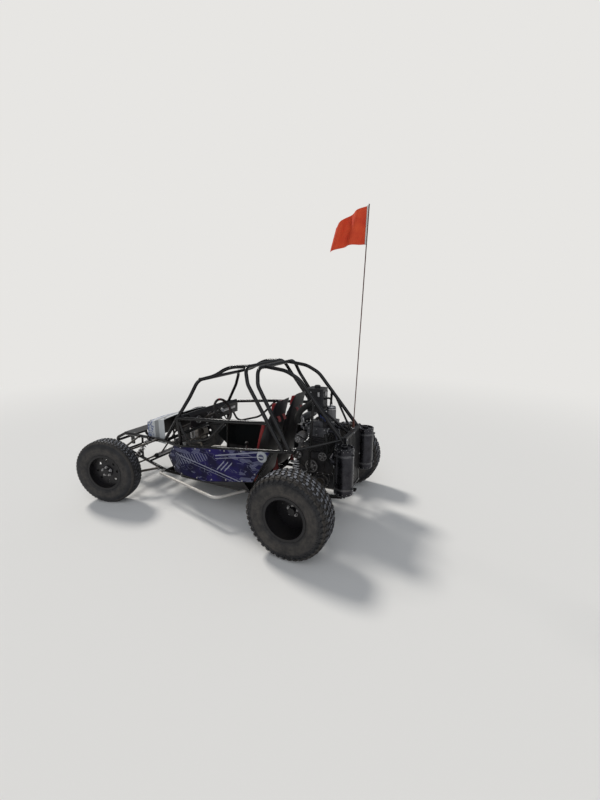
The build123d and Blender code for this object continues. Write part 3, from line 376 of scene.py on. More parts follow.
def hood_graphic(made):
    """Pale silver with a darker cross band and blue flecks towards the front."""
    place = coordinate(made.tree)
    back = parts_of(place)[1] - axle_y
    colour = made.mix(noise(place, 4.0, 4.0).ramp(0.35, 0.65), (0.50, 0.52, 0.53), (0.62, 0.64, 0.65))
    colour = made.mix((abs(back + 2.070) < 0.045) * 0.8, colour, (0.16, 0.17, 0.18))
    cells = read(made.tree, "ShaderNodeTexVoronoi", "Color", place, Scale=55.0)
    fleck = read(made.tree, "ShaderNodeSeparateColor", 0, cells) > back.ramp(-2.13, -2.20, 1.0, 0.47)
    colour = made.mix(fleck * 0.85, colour, (0.035, 0.075, 0.26))
    arm = vector_maths(place, "SUBTRACT", tuple(at(0, -2.10, 0.70)))
    away = vector_maths(arm, "DOT_PRODUCT", coordinate(made.tree, "Normal"), "Value")
    return made.mix(away < 0.0, colour, (0.012, 0.012, 0.013))


def dress(finish, *names):
    """Gives CAD nodes a better material."""
    for name in names:
        slots = frame["nodes"][name].data.materials
        slots.clear()
        slots.append(MATERIALS[finish])


# Studio and camera
CAMERA_AT = (3.385, 2.582, 2.06)
CAMERA_HEADING = (-0.9026, -0.4305)
CAMERA_PITCH_DOWN = math.radians(12.6)
CAMERA_LENS = 16.2
STAGE_COLOUR = (0.80, 0.79, 0.77, 1)
SKY_COLOUR, SKY_STRENGTH = (0.88, 0.93, 1, 1), 0.27
FLOOR_HALF = 60
FADE_FROM, FADE_TO = 4.0, 11.0


def make_camera():
    camera = linked("camera", bpy.data.cameras.new("camera"))
    camera.data.lens = CAMERA_LENS
    camera.data.sensor_width = 36
    camera.data.clip_end = 200
    look = Vector((*CAMERA_HEADING, 0)).normalized() * math.cos(CAMERA_PITCH_DOWN)
    look.z = -math.sin(CAMERA_PITCH_DOWN)
    camera.rotation_euler = look.to_track_quat("-Z", "Y").to_euler()
    camera.location = CAMERA_AT
    scene.camera = camera


def sun(name, heading, elevation, strength, spread, colour):
    """Wide soft sun that shines from a compass heading in the floor plane."""
    lamp = linked(name, bpy.data.lights.new(name, "SUN"))
    lamp.data.energy = strength
    lamp.data.angle = math.radians(spread)
    lamp.data.color = colour
    source = Vector((*heading, 0)).normalized() * math.cos(math.radians(elevation))
    source.z = math.sin(math.radians(elevation))
    lamp.rotation_euler = (-source).to_track_quat("-Z", "Y").to_euler()


def rays(tree, *kinds):
    """Whether a ray is of either of two kinds."""
    path = put(tree, "ShaderNodeLightPath").outputs
    first, second = [Reading(tree, path[kind]) for kind in kinds]
    return first | second


def make_stage():
    """Plain pale floor that runs out into an even backdrop, and soft light."""
    scene.view_settings.view_transform = "Standard"
    mesh = bpy.data.meshes.new("floor")
    mesh.from_pydata([(FLOOR_HALF * x, FLOOR_HALF * y, 0) for x, y in ((-1, -1), (1, -1), (1, 1), (-1, 1))], [],
                     [(0, 1, 2, 3)])
    floor = linked("floor", mesh)
    pale = Finish("stage_floor", Roughness=0.95, Specular_IOR_Level=0.05, Base_Color=STAGE_COLOUR)
    tree = pale.tree
    away = read(tree, "ShaderNodeVectorMath", "Value", coordinate(tree), operation="LENGTH")
    fade = away.ramp(FADE_FROM, FADE_TO, interpolation_type="SMOOTHSTEP")
    glow = read(tree, "ShaderNodeEmission", 0, STAGE_COLOUR)
    blend = read(tree, "ShaderNodeMixShader", 0, rays(tree, "Is Camera Ray", "Is Glossy Ray") * fade,
                 pale.shader.outputs[0], glow)
    tree.links.new(blend.socket, tree.nodes["Material Output"].inputs["Surface"])
    mesh.materials.append(pale.material)
    scene.world = bpy.data.worlds.new("world")
    scene.world.use_nodes = True
    tree = scene.world.node_tree
    lit = tree.nodes["Background"]
    lit.inputs["Color"].default_value = SKY_COLOUR
    lit.inputs["Strength"].default_value = SKY_STRENGTH
    shown = read(tree, "ShaderNodeBackground", 0, STAGE_COLOUR)
    pick = read(tree, "ShaderNodeMixShader", 0, rays(tree, "Is Camera Ray", "Is Transmission Ray"), lit.outputs[0],
                shown)
    tree.links.new(pick.socket, tree.nodes["World Output"].inputs["Surface"])
    sun("key", (-0.35, -0.95), 48, 2.0, 12, (1, 0.97, 0.92))
    sun("fill", (0.9, 0.5), 38, 0.95, 70, (0.93, 0.96, 1))


# Mesh makers
CREASE = math.radians(34)
# Brings a shape made about X, such as a lathe's, upright
UPRIGHT = Matrix.Rotation(-math.pi / 2, 4, "Y")


def add_to_scene(name, finish, mesh, slot=None, body="chassis"):
    """Links a mesh whose place is in its points, gives it its finish and lets it ride on a body; the slot is not used.
    """
    piece = linked(name, mesh)
    mesh.materials.append(MATERIALS[finish])
    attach(piece, body)
    return piece


def shaded(mesh, crease=CREASE):
    """The mesh, smooth up to a crease angle."""
    mesh.shade_smooth()
    mesh.set_sharp_from_angle(angle=crease)
    return mesh


def to_mesh(made, crease=CREASE):
    """Mesh from a bmesh, smooth up to a crease angle."""
    mesh = bpy.data.meshes.new("part")
    made.to_mesh(mesh)
    made.free()
    return shaded(mesh, crease)


def join(*meshes, crease=CREASE):
    """One mesh out of several."""
    made = bmesh.new()
    for mesh in meshes:
        made.from_mesh(mesh)
        if mesh.users == 0:
            bpy.data.meshes.remove(mesh)
    return to_mesh(made, crease)


def fit_out(name, finish, *meshes, **where):
    """Adds one piece out of several meshes."""
    return add_to_scene(name, finish, join(*meshes), **where)


def placed(made, *matrices):
    """The mesh of a shape, moved by the product of the matrices."""
    mesh = made if isinstance(made, bpy.types.Mesh) else to_mesh(made)
    whole = Matrix()
    for matrix in matrices:
        whole = whole @ matrix
    mesh.transform(whole)
    return mesh


def copied(mesh, matrix):
    """A moved twin, turned the right way out again when it is a mirror image."""
    twin = mesh.copy()
    twin.transform(matrix)
    if matrix.determinant() < 0:
        twin.flip_normals()
    return twin


def mirrored_too(mesh):
    """The mesh with its twin on the car's right side."""
    return join(mesh, copied(mesh, Matrix.Scale(-1, 4, X)))


def skin(made, rows, closed=True):
    """Faces between rows of as many points; each row is closed to its start or left open."""
    count = len(rows[0])
    for one, other in zip(rows, rows[1:]):
        for i in range(count if closed else count - 1):
            j = (i + 1) % count
            made.faces.new((one[i], one[j], other[j], other[i]))


def outward(made):
    bmesh.ops.recalc_face_normals(made, faces=made.faces)
    return made


def arc_rows(made, profile, angles):
    """The profile's points at each angle round X; its columns are radius and place along the axis."""
    return [[made.verts.new((along, radius * math.sin(angle), radius * math.cos(angle))) for radius, along in profile]
            for angle in angles]


def lathe(profile, steps):
    """Solid of revolution about X; the profile's columns are radius and place along the axis."""
    made = bmesh.new()
    rings = arc_rows(made, profile, turns(steps))
    skin(made, rings + rings[:1])
    bmesh.ops.remove_doubles(made, verts=made.verts, dist=1e-6)
    bmesh.ops.dissolve_degenerate(made, edges=made.edges, dist=1e-7)
    return outward(made)


def prism(outline, low, high, taper=1.0, bevel=0.0):
    """Upright solid from an outline in X and Y, narrowed at its top, with its top edges rounded."""
    made = bmesh.new()
    bottom = [made.verts.new((x, y, low)) for x, y in outline]
    top = [made.verts.new((x * taper, y * taper, high)) for x, y in outline]
    made.faces.new(bottom[::-1])
    cap = made.faces.new(top)
    skin(made, [bottom, top])
    if bevel:
        bmesh.ops.bevel(made, geom=list(cap.edges), offset=bevel, segments=1, affect="EDGES")
    return outward(made)


def block(size, bevel=0.0):
    """Box about its own centre with broken edges."""
    made = bmesh.new()
    bmesh.ops.create_cube(made, size=1.0)
    bmesh.ops.scale(made, vec=size, verts=made.verts)
    if bevel:
        bmesh.ops.bevel(made, geom=list(made.edges), offset=bevel, segments=1, affect="EDGES")
    return made


def pellet(radius, stretch):
    """Small faceted ball, stretched along its axes."""
    made = bmesh.new()
    bmesh.ops.create_icosphere(made, subdivisions=1, radius=radius)
    bmesh.ops.scale(made, vec=stretch, verts=made.verts)
    return made


def circle(radius, count):
    """Points of a regular outline in X and Y."""
    return [(radius * math.cos(turn), radius * math.sin(turn)) for turn in turns(count)]


def evaluated(holder):
    """The mesh that an object's curve or modifiers give."""
    graph = bpy.context.evaluated_depsgraph_get()
    return bpy.data.meshes.new_from_object(holder.evaluated_get(graph))


def settled(holder):
    """The mesh that an object gives; the object goes."""
    mesh = evaluated(holder)
    bpy.data.objects.remove(holder)
    mesh.materials.clear()
    return mesh


def pipe(points, radius, sides, smooth=True, closed=False):
    """Round hose or rod along points, as a smooth curve or straight runs."""
    curve = bpy.data.curves.new("route", "CURVE")
    curve.dimensions = "3D"
    curve.bevel_depth = radius
    curve.bevel_resolution = max(1, sides // 4 - 1)
    curve.use_fill_caps = True
    curve.resolution_u = 8
    spline = curve.splines.new("NURBS" if smooth else "POLY")
    spline.points.add(len(points) - 1)
    for point, place in zip(spline.points, points):
        point.co = (*place, 1)
    spline.use_cyclic_u = closed
    if smooth:
        spline.order_u = 3
        spline.use_endpoint_u = not closed
    return settled(linked("route", curve))


def axes_at(place, first, second, third):
    """Matrix that takes the local axes to three directions at a place."""
    return Matrix.Translation(place) @ Matrix((first, second, third)).transposed().to_4x4()


def facing(place, out, up=Z):
    """Matrix that takes local Z to a direction and keeps local Y near another."""
    third = Vector(out).normalized()
    first = Vector(up).cross(third)
    if first.length < 1e-4:
        first = X.cross(third) if abs(third.x) < 0.9 else Y.cross(third)
    first.normalize()
    return axes_at(place, first, third.cross(first), third)


def axle_matrix(name, out):
    """Matrix that takes local X to a wheel's outward axle."""
    hub, axis = joint_at(name)
    first = axis * out
    second = Z.cross(first).normalized()
    return axes_at(hub, first, second, first.cross(second))


def drum(start, toward, profile, steps=28):
    """Solid of revolution that starts at a place and runs in a direction."""
    return placed(lathe(profile, steps), facing(start, toward), UPRIGHT)


def slab(centre, size, bevel=0.002):
    """Box with broken edges, its middle at a place."""
    return placed(block(size, bevel), Matrix.Translation(centre))


def can(radius, length, edge=0.002):
    """Profile of a closed cylinder with broken edges."""
    return [(0, 0), (radius - edge, 0), (radius, edge), (radius, length - edge), (radius - edge, length), (0, length)]


def band(radius, width, thick=0.002):
    """Profile of a thin hoop that lies on a cylinder."""
    return [(radius - 0.001, 0), (radius + thick, 0), (radius + thick, width), (radius - 0.001, width)]


def washer(inner, outer, width):
    """Profile of a ring of square section."""
    return [(inner, 0), (outer, 0), (outer, width), (inner, width)]


def tangents(points):
    """Direction of a line at each of its points."""
    return [(points[min(len(points) - 1, i + 1)] - points[max(0, i - 1)]).normalized() for i in range(len(points))]


# Geometry trees
def geometry_tree(name, **inputs):
    """A geometry node tree with inputs of these kinds, and a reading of each."""
    tree = bpy.data.node_groups.new(name, "GeometryNodeTree")
    for label, kind in inputs.items():
        tree.interface.new_socket(label, in_out="INPUT", socket_type="NodeSocket" + kind)
    tree.interface.new_socket("Geometry", in_out="OUTPUT", socket_type="NodeSocketGeometry")
    given = tree.nodes.new("NodeGroupInput").outputs
    return tree, *[Reading(tree, given[label]) for label in inputs]


def end_tree(geometry):
    """Ends a tree with a geometry whose instances are made real."""
    tree = geometry.tree
    real = read(tree, "GeometryNodeRealizeInstances", 0, geometry)
    tree.links.new(real.socket, tree.nodes.new("NodeGroupOutput").inputs[0])
    return tree


def mesh_of(model):
    """The mesh of the object that a tree repeats."""
    return read(model.tree, "GeometryNodeObjectInfo", "Geometry", Object=model)


def set_on(points, mesh, rotation):
    """Ends a tree with copies of a mesh on points."""
    return end_tree(read(points.tree, "GeometryNodeInstanceOnPoints", 0, points, Instance=mesh, Rotation=rotation))


def combined(tree, *parts):
    return read(tree, "ShaderNodeCombineXYZ", 0, *parts)


def make_ring_tree():
    """A thing repeated round the X axis, its own Z pointing outwards."""
    tree, model, count, radius, across, phase, tilt, yaw = geometry_tree(
        "ring", Thing="Object", Count="Int", Radius="Float", Across="Float", Phase="Float", Tilt="Float", Yaw="Float")
    mesh = mesh_of(model)
    for turn in ((0.0, 0.0, yaw), (0.0, tilt, 0.0)):
        mesh = read(tree, "GeometryNodeTransform", 0, mesh, Rotation=combined(tree, *turn))
    angle = (read(tree, "GeometryNodeInputIndex", 0) + phase) * (2 * math.pi / count)
    place = combined(tree, across, angle.maths("SINE") * radius, angle.maths("COSINE") * radius)
    points = read(tree, "GeometryNodePoints", 0, Count=count, Position=place)
    return set_on(points, mesh, combined(tree, angle * -1.0, 0.0, 0.0))


def make_path_tree():
    """A thing repeated along a mesh line, its own X along the line."""
    tree, line, model, spacing = geometry_tree("along", Geometry="Geometry", Thing="Object", Spacing="Float")
    curve = read(tree, "GeometryNodeMeshToCurve", 0, line)
    even = read(tree, "GeometryNodeResampleCurve", 0, curve, mode="LENGTH", Length=spacing)
    along = read(tree, "GeometryNodeInputTangent", 0)
    turn = read(tree, "FunctionNodeAlignRotationToVector", 0, None, None, along, axis="X")
    return set_on(even, mesh_of(model), turn)


def make_spots_tree():
    """A thing set on each point of a mesh, its own Z along the point's stored direction."""
    tree, points, model = geometry_tree("spots", Geometry="Geometry", Thing="Object")
    stored = read(tree, "GeometryNodeInputNamedAttribute", 0, data_type="FLOAT_VECTOR", Name="direction")
    turn = read(tree, "FunctionNodeAlignRotationToVector", 0, None, None, stored, axis="Z")
    return set_on(points, mesh_of(model), turn)


def make_coil_tree():
    """Round wire wound about Z, with capped ends."""
    tree, turn_count, radius, length, wire = geometry_tree(
        "coil", Turns="Float", Radius="Float", Length="Float", Wire="Float")
    spiral = read(tree, "GeometryNodeCurveSpiral", 0, Resolution=24, Rotations=turn_count, Start_Radius=radius,
                  End_Radius=radius, Height=length)
    section = read(tree, "GeometryNodeCurvePrimitiveCircle", 0, Resolution=8, Radius=wire)
    return end_tree(read(tree, "GeometryNodeCurveToMesh", 0, spiral, section, Fill_Caps=True))


ring_tree, path_tree, spots_tree, coil_tree = make_ring_tree(), make_path_tree(), make_spots_tree(), make_coil_tree()


def grown(tree, made=None, base=None, **values):
    """The plain mesh that a tree makes with these inputs, out of a shape that it repeats."""
    if made is not None:
        mesh = made if isinstance(made, bpy.types.Mesh) else to_mesh(made)
        values["Thing"] = bpy.data.objects.new("thing", mesh)
    holder = linked("grown", base or bpy.data.meshes.new("grown"))
    modifier = holder.modifiers.new("tree", "NODES")
    modifier.node_group = tree
    for item in tree.interface.items_tree:
        if item.in_out == "INPUT" and item.name in values:
            modifier[item.identifier] = values[item.name]
    mesh = settled(holder)
    if made is not None:
        bpy.data.objects.remove(values["Thing"])
    return mesh


def strung(made, points, spacing, closed=False):
    """A shape repeated along a line through points."""
    count = len(points)
    mesh = bpy.data.meshes.new("line")
    mesh.from_pydata(points, [(i, (i + 1) % count) for i in range(count if closed else count - 1)], [])
    return grown(path_tree, made, mesh, Spacing=spacing)


def studded(made, spots):
    """A shape repeated on spots, whose columns are place and direction."""
    mesh = bpy.data.meshes.new("spots")
    mesh.from_pydata([place for place, out in spots], [], [])
    stored = mesh.attributes.new("direction", "FLOAT_VECTOR", "POINT").data
    stored.foreach_set("vector", [c for place, out in spots for c in Vector(out).normalized()])
    return grown(spots_tree, made, mesh)


def hexagon(size, height, edge, disc, under):
    """Hexagon head over a washer with a disc's radius and steps, both about Z."""
    return join(to_mesh(prism(circle(size * 0.5774, 6), 0.0, height, 1.0, edge)),
                to_mesh(prism(circle(*disc), -under, 0.0)))


def ring_spots(centre, radius, angles, out, across=Y, up=Z):
    """Spots on a circle, its angles measured from up towards across, all with one direction."""
    return [(centre + across * (radius * math.sin(t)) + up * (radius * math.cos(t)), out) for t in angles]


def set_bolts(name, spots, size, height, body="chassis"):
    """Hexagon heads on spots, whose columns are place and direction."""
    head = hexagon(size, height, height * 0.12, (size * 0.70, 14), 0.0012)
    return add_to_scene(name, "steel", shaded(studded(head, spots)), body=body)


def on_side(vector, mark):
    """A vector of the left side, or its mirror image when the mark is -1."""
    return Vector((vector[0] * mark, vector[1], vector[2]))


def both_sides(spots):
    return spots + [(on_side(place, -1), on_side(out, -1)) for place, out in spots]


# Wheels
BEAD_R = 0.2095
REAR_TIP, REAR_CARCASS = 0.3935, 0.3795
FRONT_TIP, FRONT_CARCASS = 0.370, 0.362
WHEEL_STEPS = 132
# Tyre wall: share of its height, share of the half width
WALL = [(0.07, 0.925), (0.16, 0.972), (0.28, 0.997), (0.42, 1.0), (0.56, 0.988), (0.68, 0.965), (0.78, 0.925),
        (0.86, 0.865), (0.925, 0.79)]


def tyre_outline(carcass, half, bead_half, crown_half):
    """Tyre section by radius and place along the axle: beads, bulged walls, shoulders, crown."""
    side = [(0.1905, bead_half - 0.007), (BEAD_R, bead_half - 0.007), (BEAD_R + 0.001, bead_half - 0.001)]
    side += [(BEAD_R + (carcass - BEAD_R) * share, half * bulge) for share, bulge in WALL]
    side += [(carcass - 0.0035, crown_half), (carcass - 0.001, crown_half * 0.6), (carcass, crown_half * 0.2)]
    return side + [(radius, -along) for radius, along in side[::-1]]


def siped_lug(length, width, height, notch):
    """Tread block with a stepped outline and a deep sipe across it."""
    half_l, half_w = length / 2, width / 2
    half = [(-half_w, -half_l), (half_w * 0.1, -half_l), (half_w * 0.1, -half_l + notch), (half_w, -half_l + notch)]
    return prism(half + [(-x, -y) for x, y in half], -0.006, height, 0.93, 0.0016)


def wall_lug(length, width, height):
    """Small block of the tyre's wall, narrower at one end."""
    x, y = length / 2, width / 2
    return prism([(-x, -y), (x, -y * 0.7), (x, y * 0.7), (-x, y)], -0.004, height, 0.9, 0.0008)


def make_tyre(end, side, out, carcass, half, bead_half, crown_half, rows, walls):
    """Carcass with rows of tread blocks and small wall blocks, standing for its CAD tyre."""
    where = "%s_%s" % (end, side)
    parts = [to_mesh(lathe(tyre_outline(carcass, half, bead_half, crown_half), WHEEL_STEPS))]
    for size, count, across, radius, tilt, yaw, phase in rows:
        lug = to_mesh(siped_lug(*size))
        for mark in ((-1, 1) if across else (1,)):
            parts.append(grown(ring_tree, lug, Count=count, Radius=radius, Across=across * mark, Tilt=tilt * mark,
                               Yaw=yaw * mark, Phase=phase + (0.5 if mark < 0 else 0.0)))
    for size, count, across, radius, tilt, phase in walls:
        lug = to_mesh(wall_lug(*size))
        for mark in (-1, 1):
            parts.append(grown(ring_tree, lug, Count=count, Radius=radius, Across=across * mark, Tilt=tilt * mark,
                               Phase=phase))
    matrix = axle_matrix("roll_" + where, out)
    mesh = join(*[placed(part, matrix) for part in parts])
    piece = add_to_scene("%s_tyre_%s" % (end, side), "tyre_" + where, mesh, "tyre_rubber", "wheel_" + where)
    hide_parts("tyre_" + where)


# Tread rows: block length, width, height and step; count, place, radius, tilt, yaw, phase. Walls: no step or yaw
REAR_ROWS = [
    ((0.036, 0.034, 0.0138, 0.009), 42, 0.0, REAR_CARCASS, 0.0, 0.5, 0.0),
    ((0.038, 0.036, 0.0135, 0.010), 42, 0.043, REAR_CARCASS - 0.0005, 0.02, -0.35, 0.35),
    ((0.036, 0.044, 0.0125, 0.006), 42, 0.090, REAR_CARCASS - 0.004, 0.26, 0.12, 0.1),
]
REAR_WALLS = [((0.030, 0.030, 0.007), 42, 0.1185, REAR_CARCASS - 0.019, 1.05, 0.1),
              ((0.008, 0.020, 0.002), 84, 0.1305, 0.330, 1.38, 0.0)]
FRONT_ROWS = [
    ((0.026, 0.020, 0.008, 0.006), 56, 0.0, FRONT_CARCASS, 0.0, 0.45, 0.0),
    ((0.026, 0.022, 0.008, 0.006), 56, 0.027, FRONT_CARCASS - 0.0004, 0.02, -0.3, 0.4),
    ((0.028, 0.026, 0.0075, 0.005), 56, 0.058, FRONT_CARCASS - 0.003, 0.2, 0.1, 0.2),
]
FRONT_WALLS = [((0.014, 0.018, 0.003), 56, 0.0800, FRONT_CARCASS - 0.014, 0.95, 0.2)]
# Tyres: tread radius, where the dust on the wall ends, its amount; carcass, half widths, rows
TYRES = {
    "rear": ((REAR_TIP, 0.30, 0.55), (REAR_CARCASS, 0.1345, 0.114, 0.105, REAR_ROWS, REAR_WALLS)),
    "front": ((FRONT_TIP, 0.28, 0.45), (FRONT_CARCASS, 0.0985, 0.085, 0.070, FRONT_ROWS, FRONT_WALLS)),
}


def make_wheels():
    for side, out in (("left", 1), ("right", -1)):
        for end, (looks, form) in TYRES.items():
            tyre_rubber("tyre_%s_%s" % (end, side), *joint_at("roll_%s_%s" % (end, side)), *looks)
            make_tyre(end, side, out, *form)
        for end in ("front", "rear"):
            make_wheel_fittings(end, side, out)


def wheel_nut(size, height):
    """Hexagon nut with a washer under it and a stud end in it."""
    stud = prism(circle(size * 0.28, 10), height, height * 1.35, 0.85)
    return join(hexagon(size, height, height * 0.1, (size * 0.72, 16), height * 0.2), to_mesh(stud))


def make_wheel_fittings(end, side, out):
    """Wheel nuts and valve of one rim."""
    body = "wheel_%s_%s" % (end, side)
    matrix = axle_matrix("roll_%s_%s" % (end, side), out)
    lip, face = (0.085, 0.0345) if end == "front" else (0.114, -0.0725)
    nuts = studded(wheel_nut(0.022, 0.017), ring_spots(Vector((face, 0, 0)), 0.049, turns(5), X))
    add_to_scene("wheel_nuts_%s_%s" % (end, side), "steel", placed(join(nuts), matrix), "alloy", body)
    cap = lathe([(0.0055, 0), (0.0055, 0.012), (0.004, 0.014), (0, 0.014), (0, 0)], 14)
    valve = join(pipe([(lip - 0.012, 0, 0.176), (lip - 0.004, 0, 0.172), (lip + 0.006, 0, 0.165)], 0.004, 10, False),
                 placed(cap, Matrix.Translation((lip + 0.001, 0, 0.166))))
    add_to_scene("valve_%s_%s" % (end, side), "black_plastic", placed(valve, matrix), body=body)


# Seats and flag
def soft_block(path, half_width, thickness):
    """Closed cushion shape that follows a side view path; its columns are place behind the axle and height."""
    made = bmesh.new()
    points = [at(0, back, up) for back, up in path]
    steps = 6
    rows = []
    for point, along in zip(points, tangents(points)):
        out = X.cross(along).normalized()
        row = [made.verts.new(point + X * (half_width * (2 * i / steps - 1))) for i in range(steps + 1)]
        row += [made.verts.new(point + out * thickness + X * (half_width * (1 - 2 * i / steps)))
                for i in range(steps + 1)]
        rows.append(row)
    skin(made, rows)
    made.faces.new(rows[0][::-1])
    made.faces.new(rows[-1])
    return outward(made)


PAD_VOXEL, PAD_PRESSURE, PAD_FRAMES = 0.010, 4.0, 20


def puffed(made, cap):
    """Cushion blown up as cloth from a closed shape, each point moved no further than the cap."""
    start = bpy.data.meshes.new("pad")
    made.to_mesh(start)
    made.free()
    holder = linked("pad", start)
    remesh = holder.modifiers.new("remesh", "REMESH")
    remesh.mode = "VOXEL"
    remesh.voxel_size = PAD_VOXEL
    even = evaluated(holder)
    holder.modifiers.remove(remesh)
    holder.data = even
    cloth = holder.modifiers.new("cloth", "CLOTH")
    cloth.settings.use_pressure = True
    cloth.settings.uniform_pressure_force = PAD_PRESSURE
    cloth.settings.effector_weights.gravity = 0
    cloth.settings.quality = 5
    cloth.collision_settings.use_collision = False
    for number in range(1, PAD_FRAMES + 1):
        scene.frame_set(number)
    graph = bpy.context.evaluated_depsgraph_get()
    blown = holder.evaluated_get(graph).data
    for old, new in zip(even.vertices, blown.vertices):
        move = new.co - old.co
        if move.length > cap:
            move *= cap / move.length
        old.co += move
    holder.modifiers.remove(cloth)
    scene.frame_set(1)
    smooth = holder.modifiers.new("smooth", "SUBSURF")
    smooth.levels = smooth.render_levels = 1
    final = settled(holder)
    final.shade_smooth()
    return final


# Side view of the seat; columns are place behind the rear axle and height
CUSHION_PATH = [(-0.962, 0.440), (-0.900, 0.446), (-0.800, 0.436), (-0.700, 0.424), (-0.610, 0.418)]
BACKREST_PATH = [(-0.588, 0.455), (-0.560, 0.580), (-0.528, 0.740), (-0.495, 0.900), (-0.465, 1.050)]
HEADREST_PATH = [(-0.452, 1.110), (-0.436, 1.170), (-0.418, 1.225)]
SIDE_LOW_PATH = [(-0.975, 0.455), (-0.860, 0.478), (-0.740, 0.480), (-0.660, 0.492)]
SIDE_HIGH_PATH = [(-0.620, 0.540), (-0.582, 0.700), (-0.542, 0.870), (-0.500, 1.020)]
CUSHION, BACKREST = (CUSHION_PATH, 0.128, 0.038), (BACKREST_PATH, 0.122, 0.036)
SEAT_X = 0.215
# Pads: name; path, half width, thickness; finish, furthest puff, distance of side bolsters from the middle
PADS = [
    ("seat_cushion", CUSHION, "seat_black", 0.012, 0), ("seat_back", BACKREST, "seat_black", 0.012, 0),
    ("seat_head", (HEADREST_PATH, 0.105, 0.036), "seat_red", 0.012, 0),
    ("seat_side_low", (SIDE_LOW_PATH, 0.017, 0.030), "seat_red", 0.008, 0.163),
    ("seat_side_high", (SIDE_HIGH_PATH, 0.017, 0.040), "seat_red", 0.008, 0.163),
]


def make_seats():
    """Two bucket seats: a moulded shell, blown cushions and red side bolsters."""
    for name, form, finish, cap, aside in PADS:
        pad = puffed(soft_block(*form), cap)
        for side, mark in (("left", 1), ("right", -1)):
            for edge in ((-1, 1) if aside else (0,)):
                label = name + "_" + side + {-1: "_inner", 1: "_outer", 0: ""}[edge * mark]
                mesh = copied(pad, Matrix.Translation((mark * SEAT_X + edge * aside, 0, 0)))
                piece = add_to_scene(label, finish, mesh, "seat_cover")
                if label == "seat_cushion_left":
                    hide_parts("seats")
        bpy.data.meshes.remove(pad)
    for side, mark in (("left", 1), ("right", -1)):
        shell = copied(seat_shell(), Matrix.Translation((mark * SEAT_X, 0, 0)))
        add_to_scene("seat_shell_" + side, "black_plastic", shell)


# Side view of the bucket: place behind the rear axle, height, how far its edges rise
BUCKET = [(-0.985, 0.300, 0.0), (-0.985, 0.425, 0.030), (-0.90, 0.428, 0.050), (-0.70, 0.404, 0.052),
          (-0.60, 0.398, 0.060), (-0.565, 0.440, 0.090), (-0.535, 0.580, 0.085), (-0.500, 0.740, 0.078),
          (-0.465, 0.900, 0.070), (-0.430, 1.060, 0.045), (-0.405, 1.180, 0.015), (-0.385, 1.258, 0.0)]
BUCKET_HALF, BUCKET_WALL = 0.150, 0.006


def seat_shell():
    """Moulded bucket: a wall of one thickness behind and beside the cushions."""
    made = bmesh.new()
    rows = []
    line = tangents([Vector(place[:2]) for place in BUCKET])
    for index, ((back, up, rise), along) in enumerate(zip(BUCKET, line)):
        half = BUCKET_HALF - 0.018 * max(0, index - 8)
        edge = [(half + 0.036, rise), (half + 0.034, rise * 0.6), (half + 0.012, rise * 0.15), (half * 0.7, 0)]
        rows.append([made.verts.new(at(x, back - along.y * lift, up + along.x * lift))
                     for x, lift in [(-x, lift) for x, lift in edge] + [(0, -0.004)] + edge[::-1]])
    skin(made, rows, closed=False)
    holder = linked("shell", to_mesh(made))
    round_off = holder.modifiers.new("round", "SUBSURF")
    round_off.levels = round_off.render_levels = 2
    wall = holder.modifiers.new("wall", "SOLIDIFY")
    wall.thickness = BUCKET_WALL
    wall.offset = 0
    return shaded(settled(holder), math.radians(50))


FLAG_HOIST, FLAG_FLY = 0.330, 0.405
FLAG_ACROSS, FLAG_DOWN = 40, 32
WHIP_FOOT_R = 0.013


def make_flag():
    """Cloth pennant that flies forwards from the whip in folds, with a pale hoist sleeve."""
    low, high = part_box("flag")
    top = Vector((0.5 * (low[0] + high[0]), high[1], high[2]))
    low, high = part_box("whip")
    lean = Vector((0, (high[1] - WHIP_FOOT_R) - (low[1] + WHIP_FOOT_R), high[2] - low[2])).normalized()
    made = bmesh.new()
    sheet_uv = made.loops.layers.uv.new("flat")
    grid = []
    for row in range(FLAG_DOWN + 1):
        drop = FLAG_HOIST * row / FLAG_DOWN
        place = top - lean * drop
        line = [place]
        for step in range(FLAG_ACROSS):
            along = FLAG_FLY * (step + 0.5) / FLAG_ACROSS
            swing = 0.85 * min(1.0, along / 0.09) * math.sin(along * 29.0 - drop * 5.0 + 0.4)
            sag = -0.24 - 0.40 * (along / FLAG_FLY) ** 1.5 + 0.28 * drop / FLAG_HOIST
            heading = Vector((math.sin(swing), -math.cos(swing), 0)) * math.cos(sag) + Z * math.sin(sag)
            place = place + heading * (FLAG_FLY / FLAG_ACROSS)
            line.append(place)
        grid.append([made.verts.new(p) for p in line])
    for row in range(FLAG_DOWN):
        for step in range(FLAG_ACROSS):
            corners = ((step, row), (step + 1, row), (step + 1, row + 1), (step, row + 1))
            face = made.faces.new([grid[j][i] for i, j in corners])
            for loop, (i, j) in zip(face.loops, corners):
                loop[sheet_uv].uv = (FLAG_FLY * i / FLAG_ACROSS, FLAG_HOIST * (1 - j / FLAG_DOWN))
    mesh = bpy.data.meshes.new("flag_sheet")
    made.to_mesh(mesh)
    made.free()
    mesh.shade_smooth()
    piece = add_to_scene("flag_sheet", "flag_cloth", mesh)
    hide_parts("flag")
    sleeve = drum(top - lean * FLAG_HOIST - Y * 0.0052, lean, band(0.0062, FLAG_HOIST, 0.0016), 20)
    fit_out("flag_sleeve", "filter_white", sleeve, slot="flag_cloth")


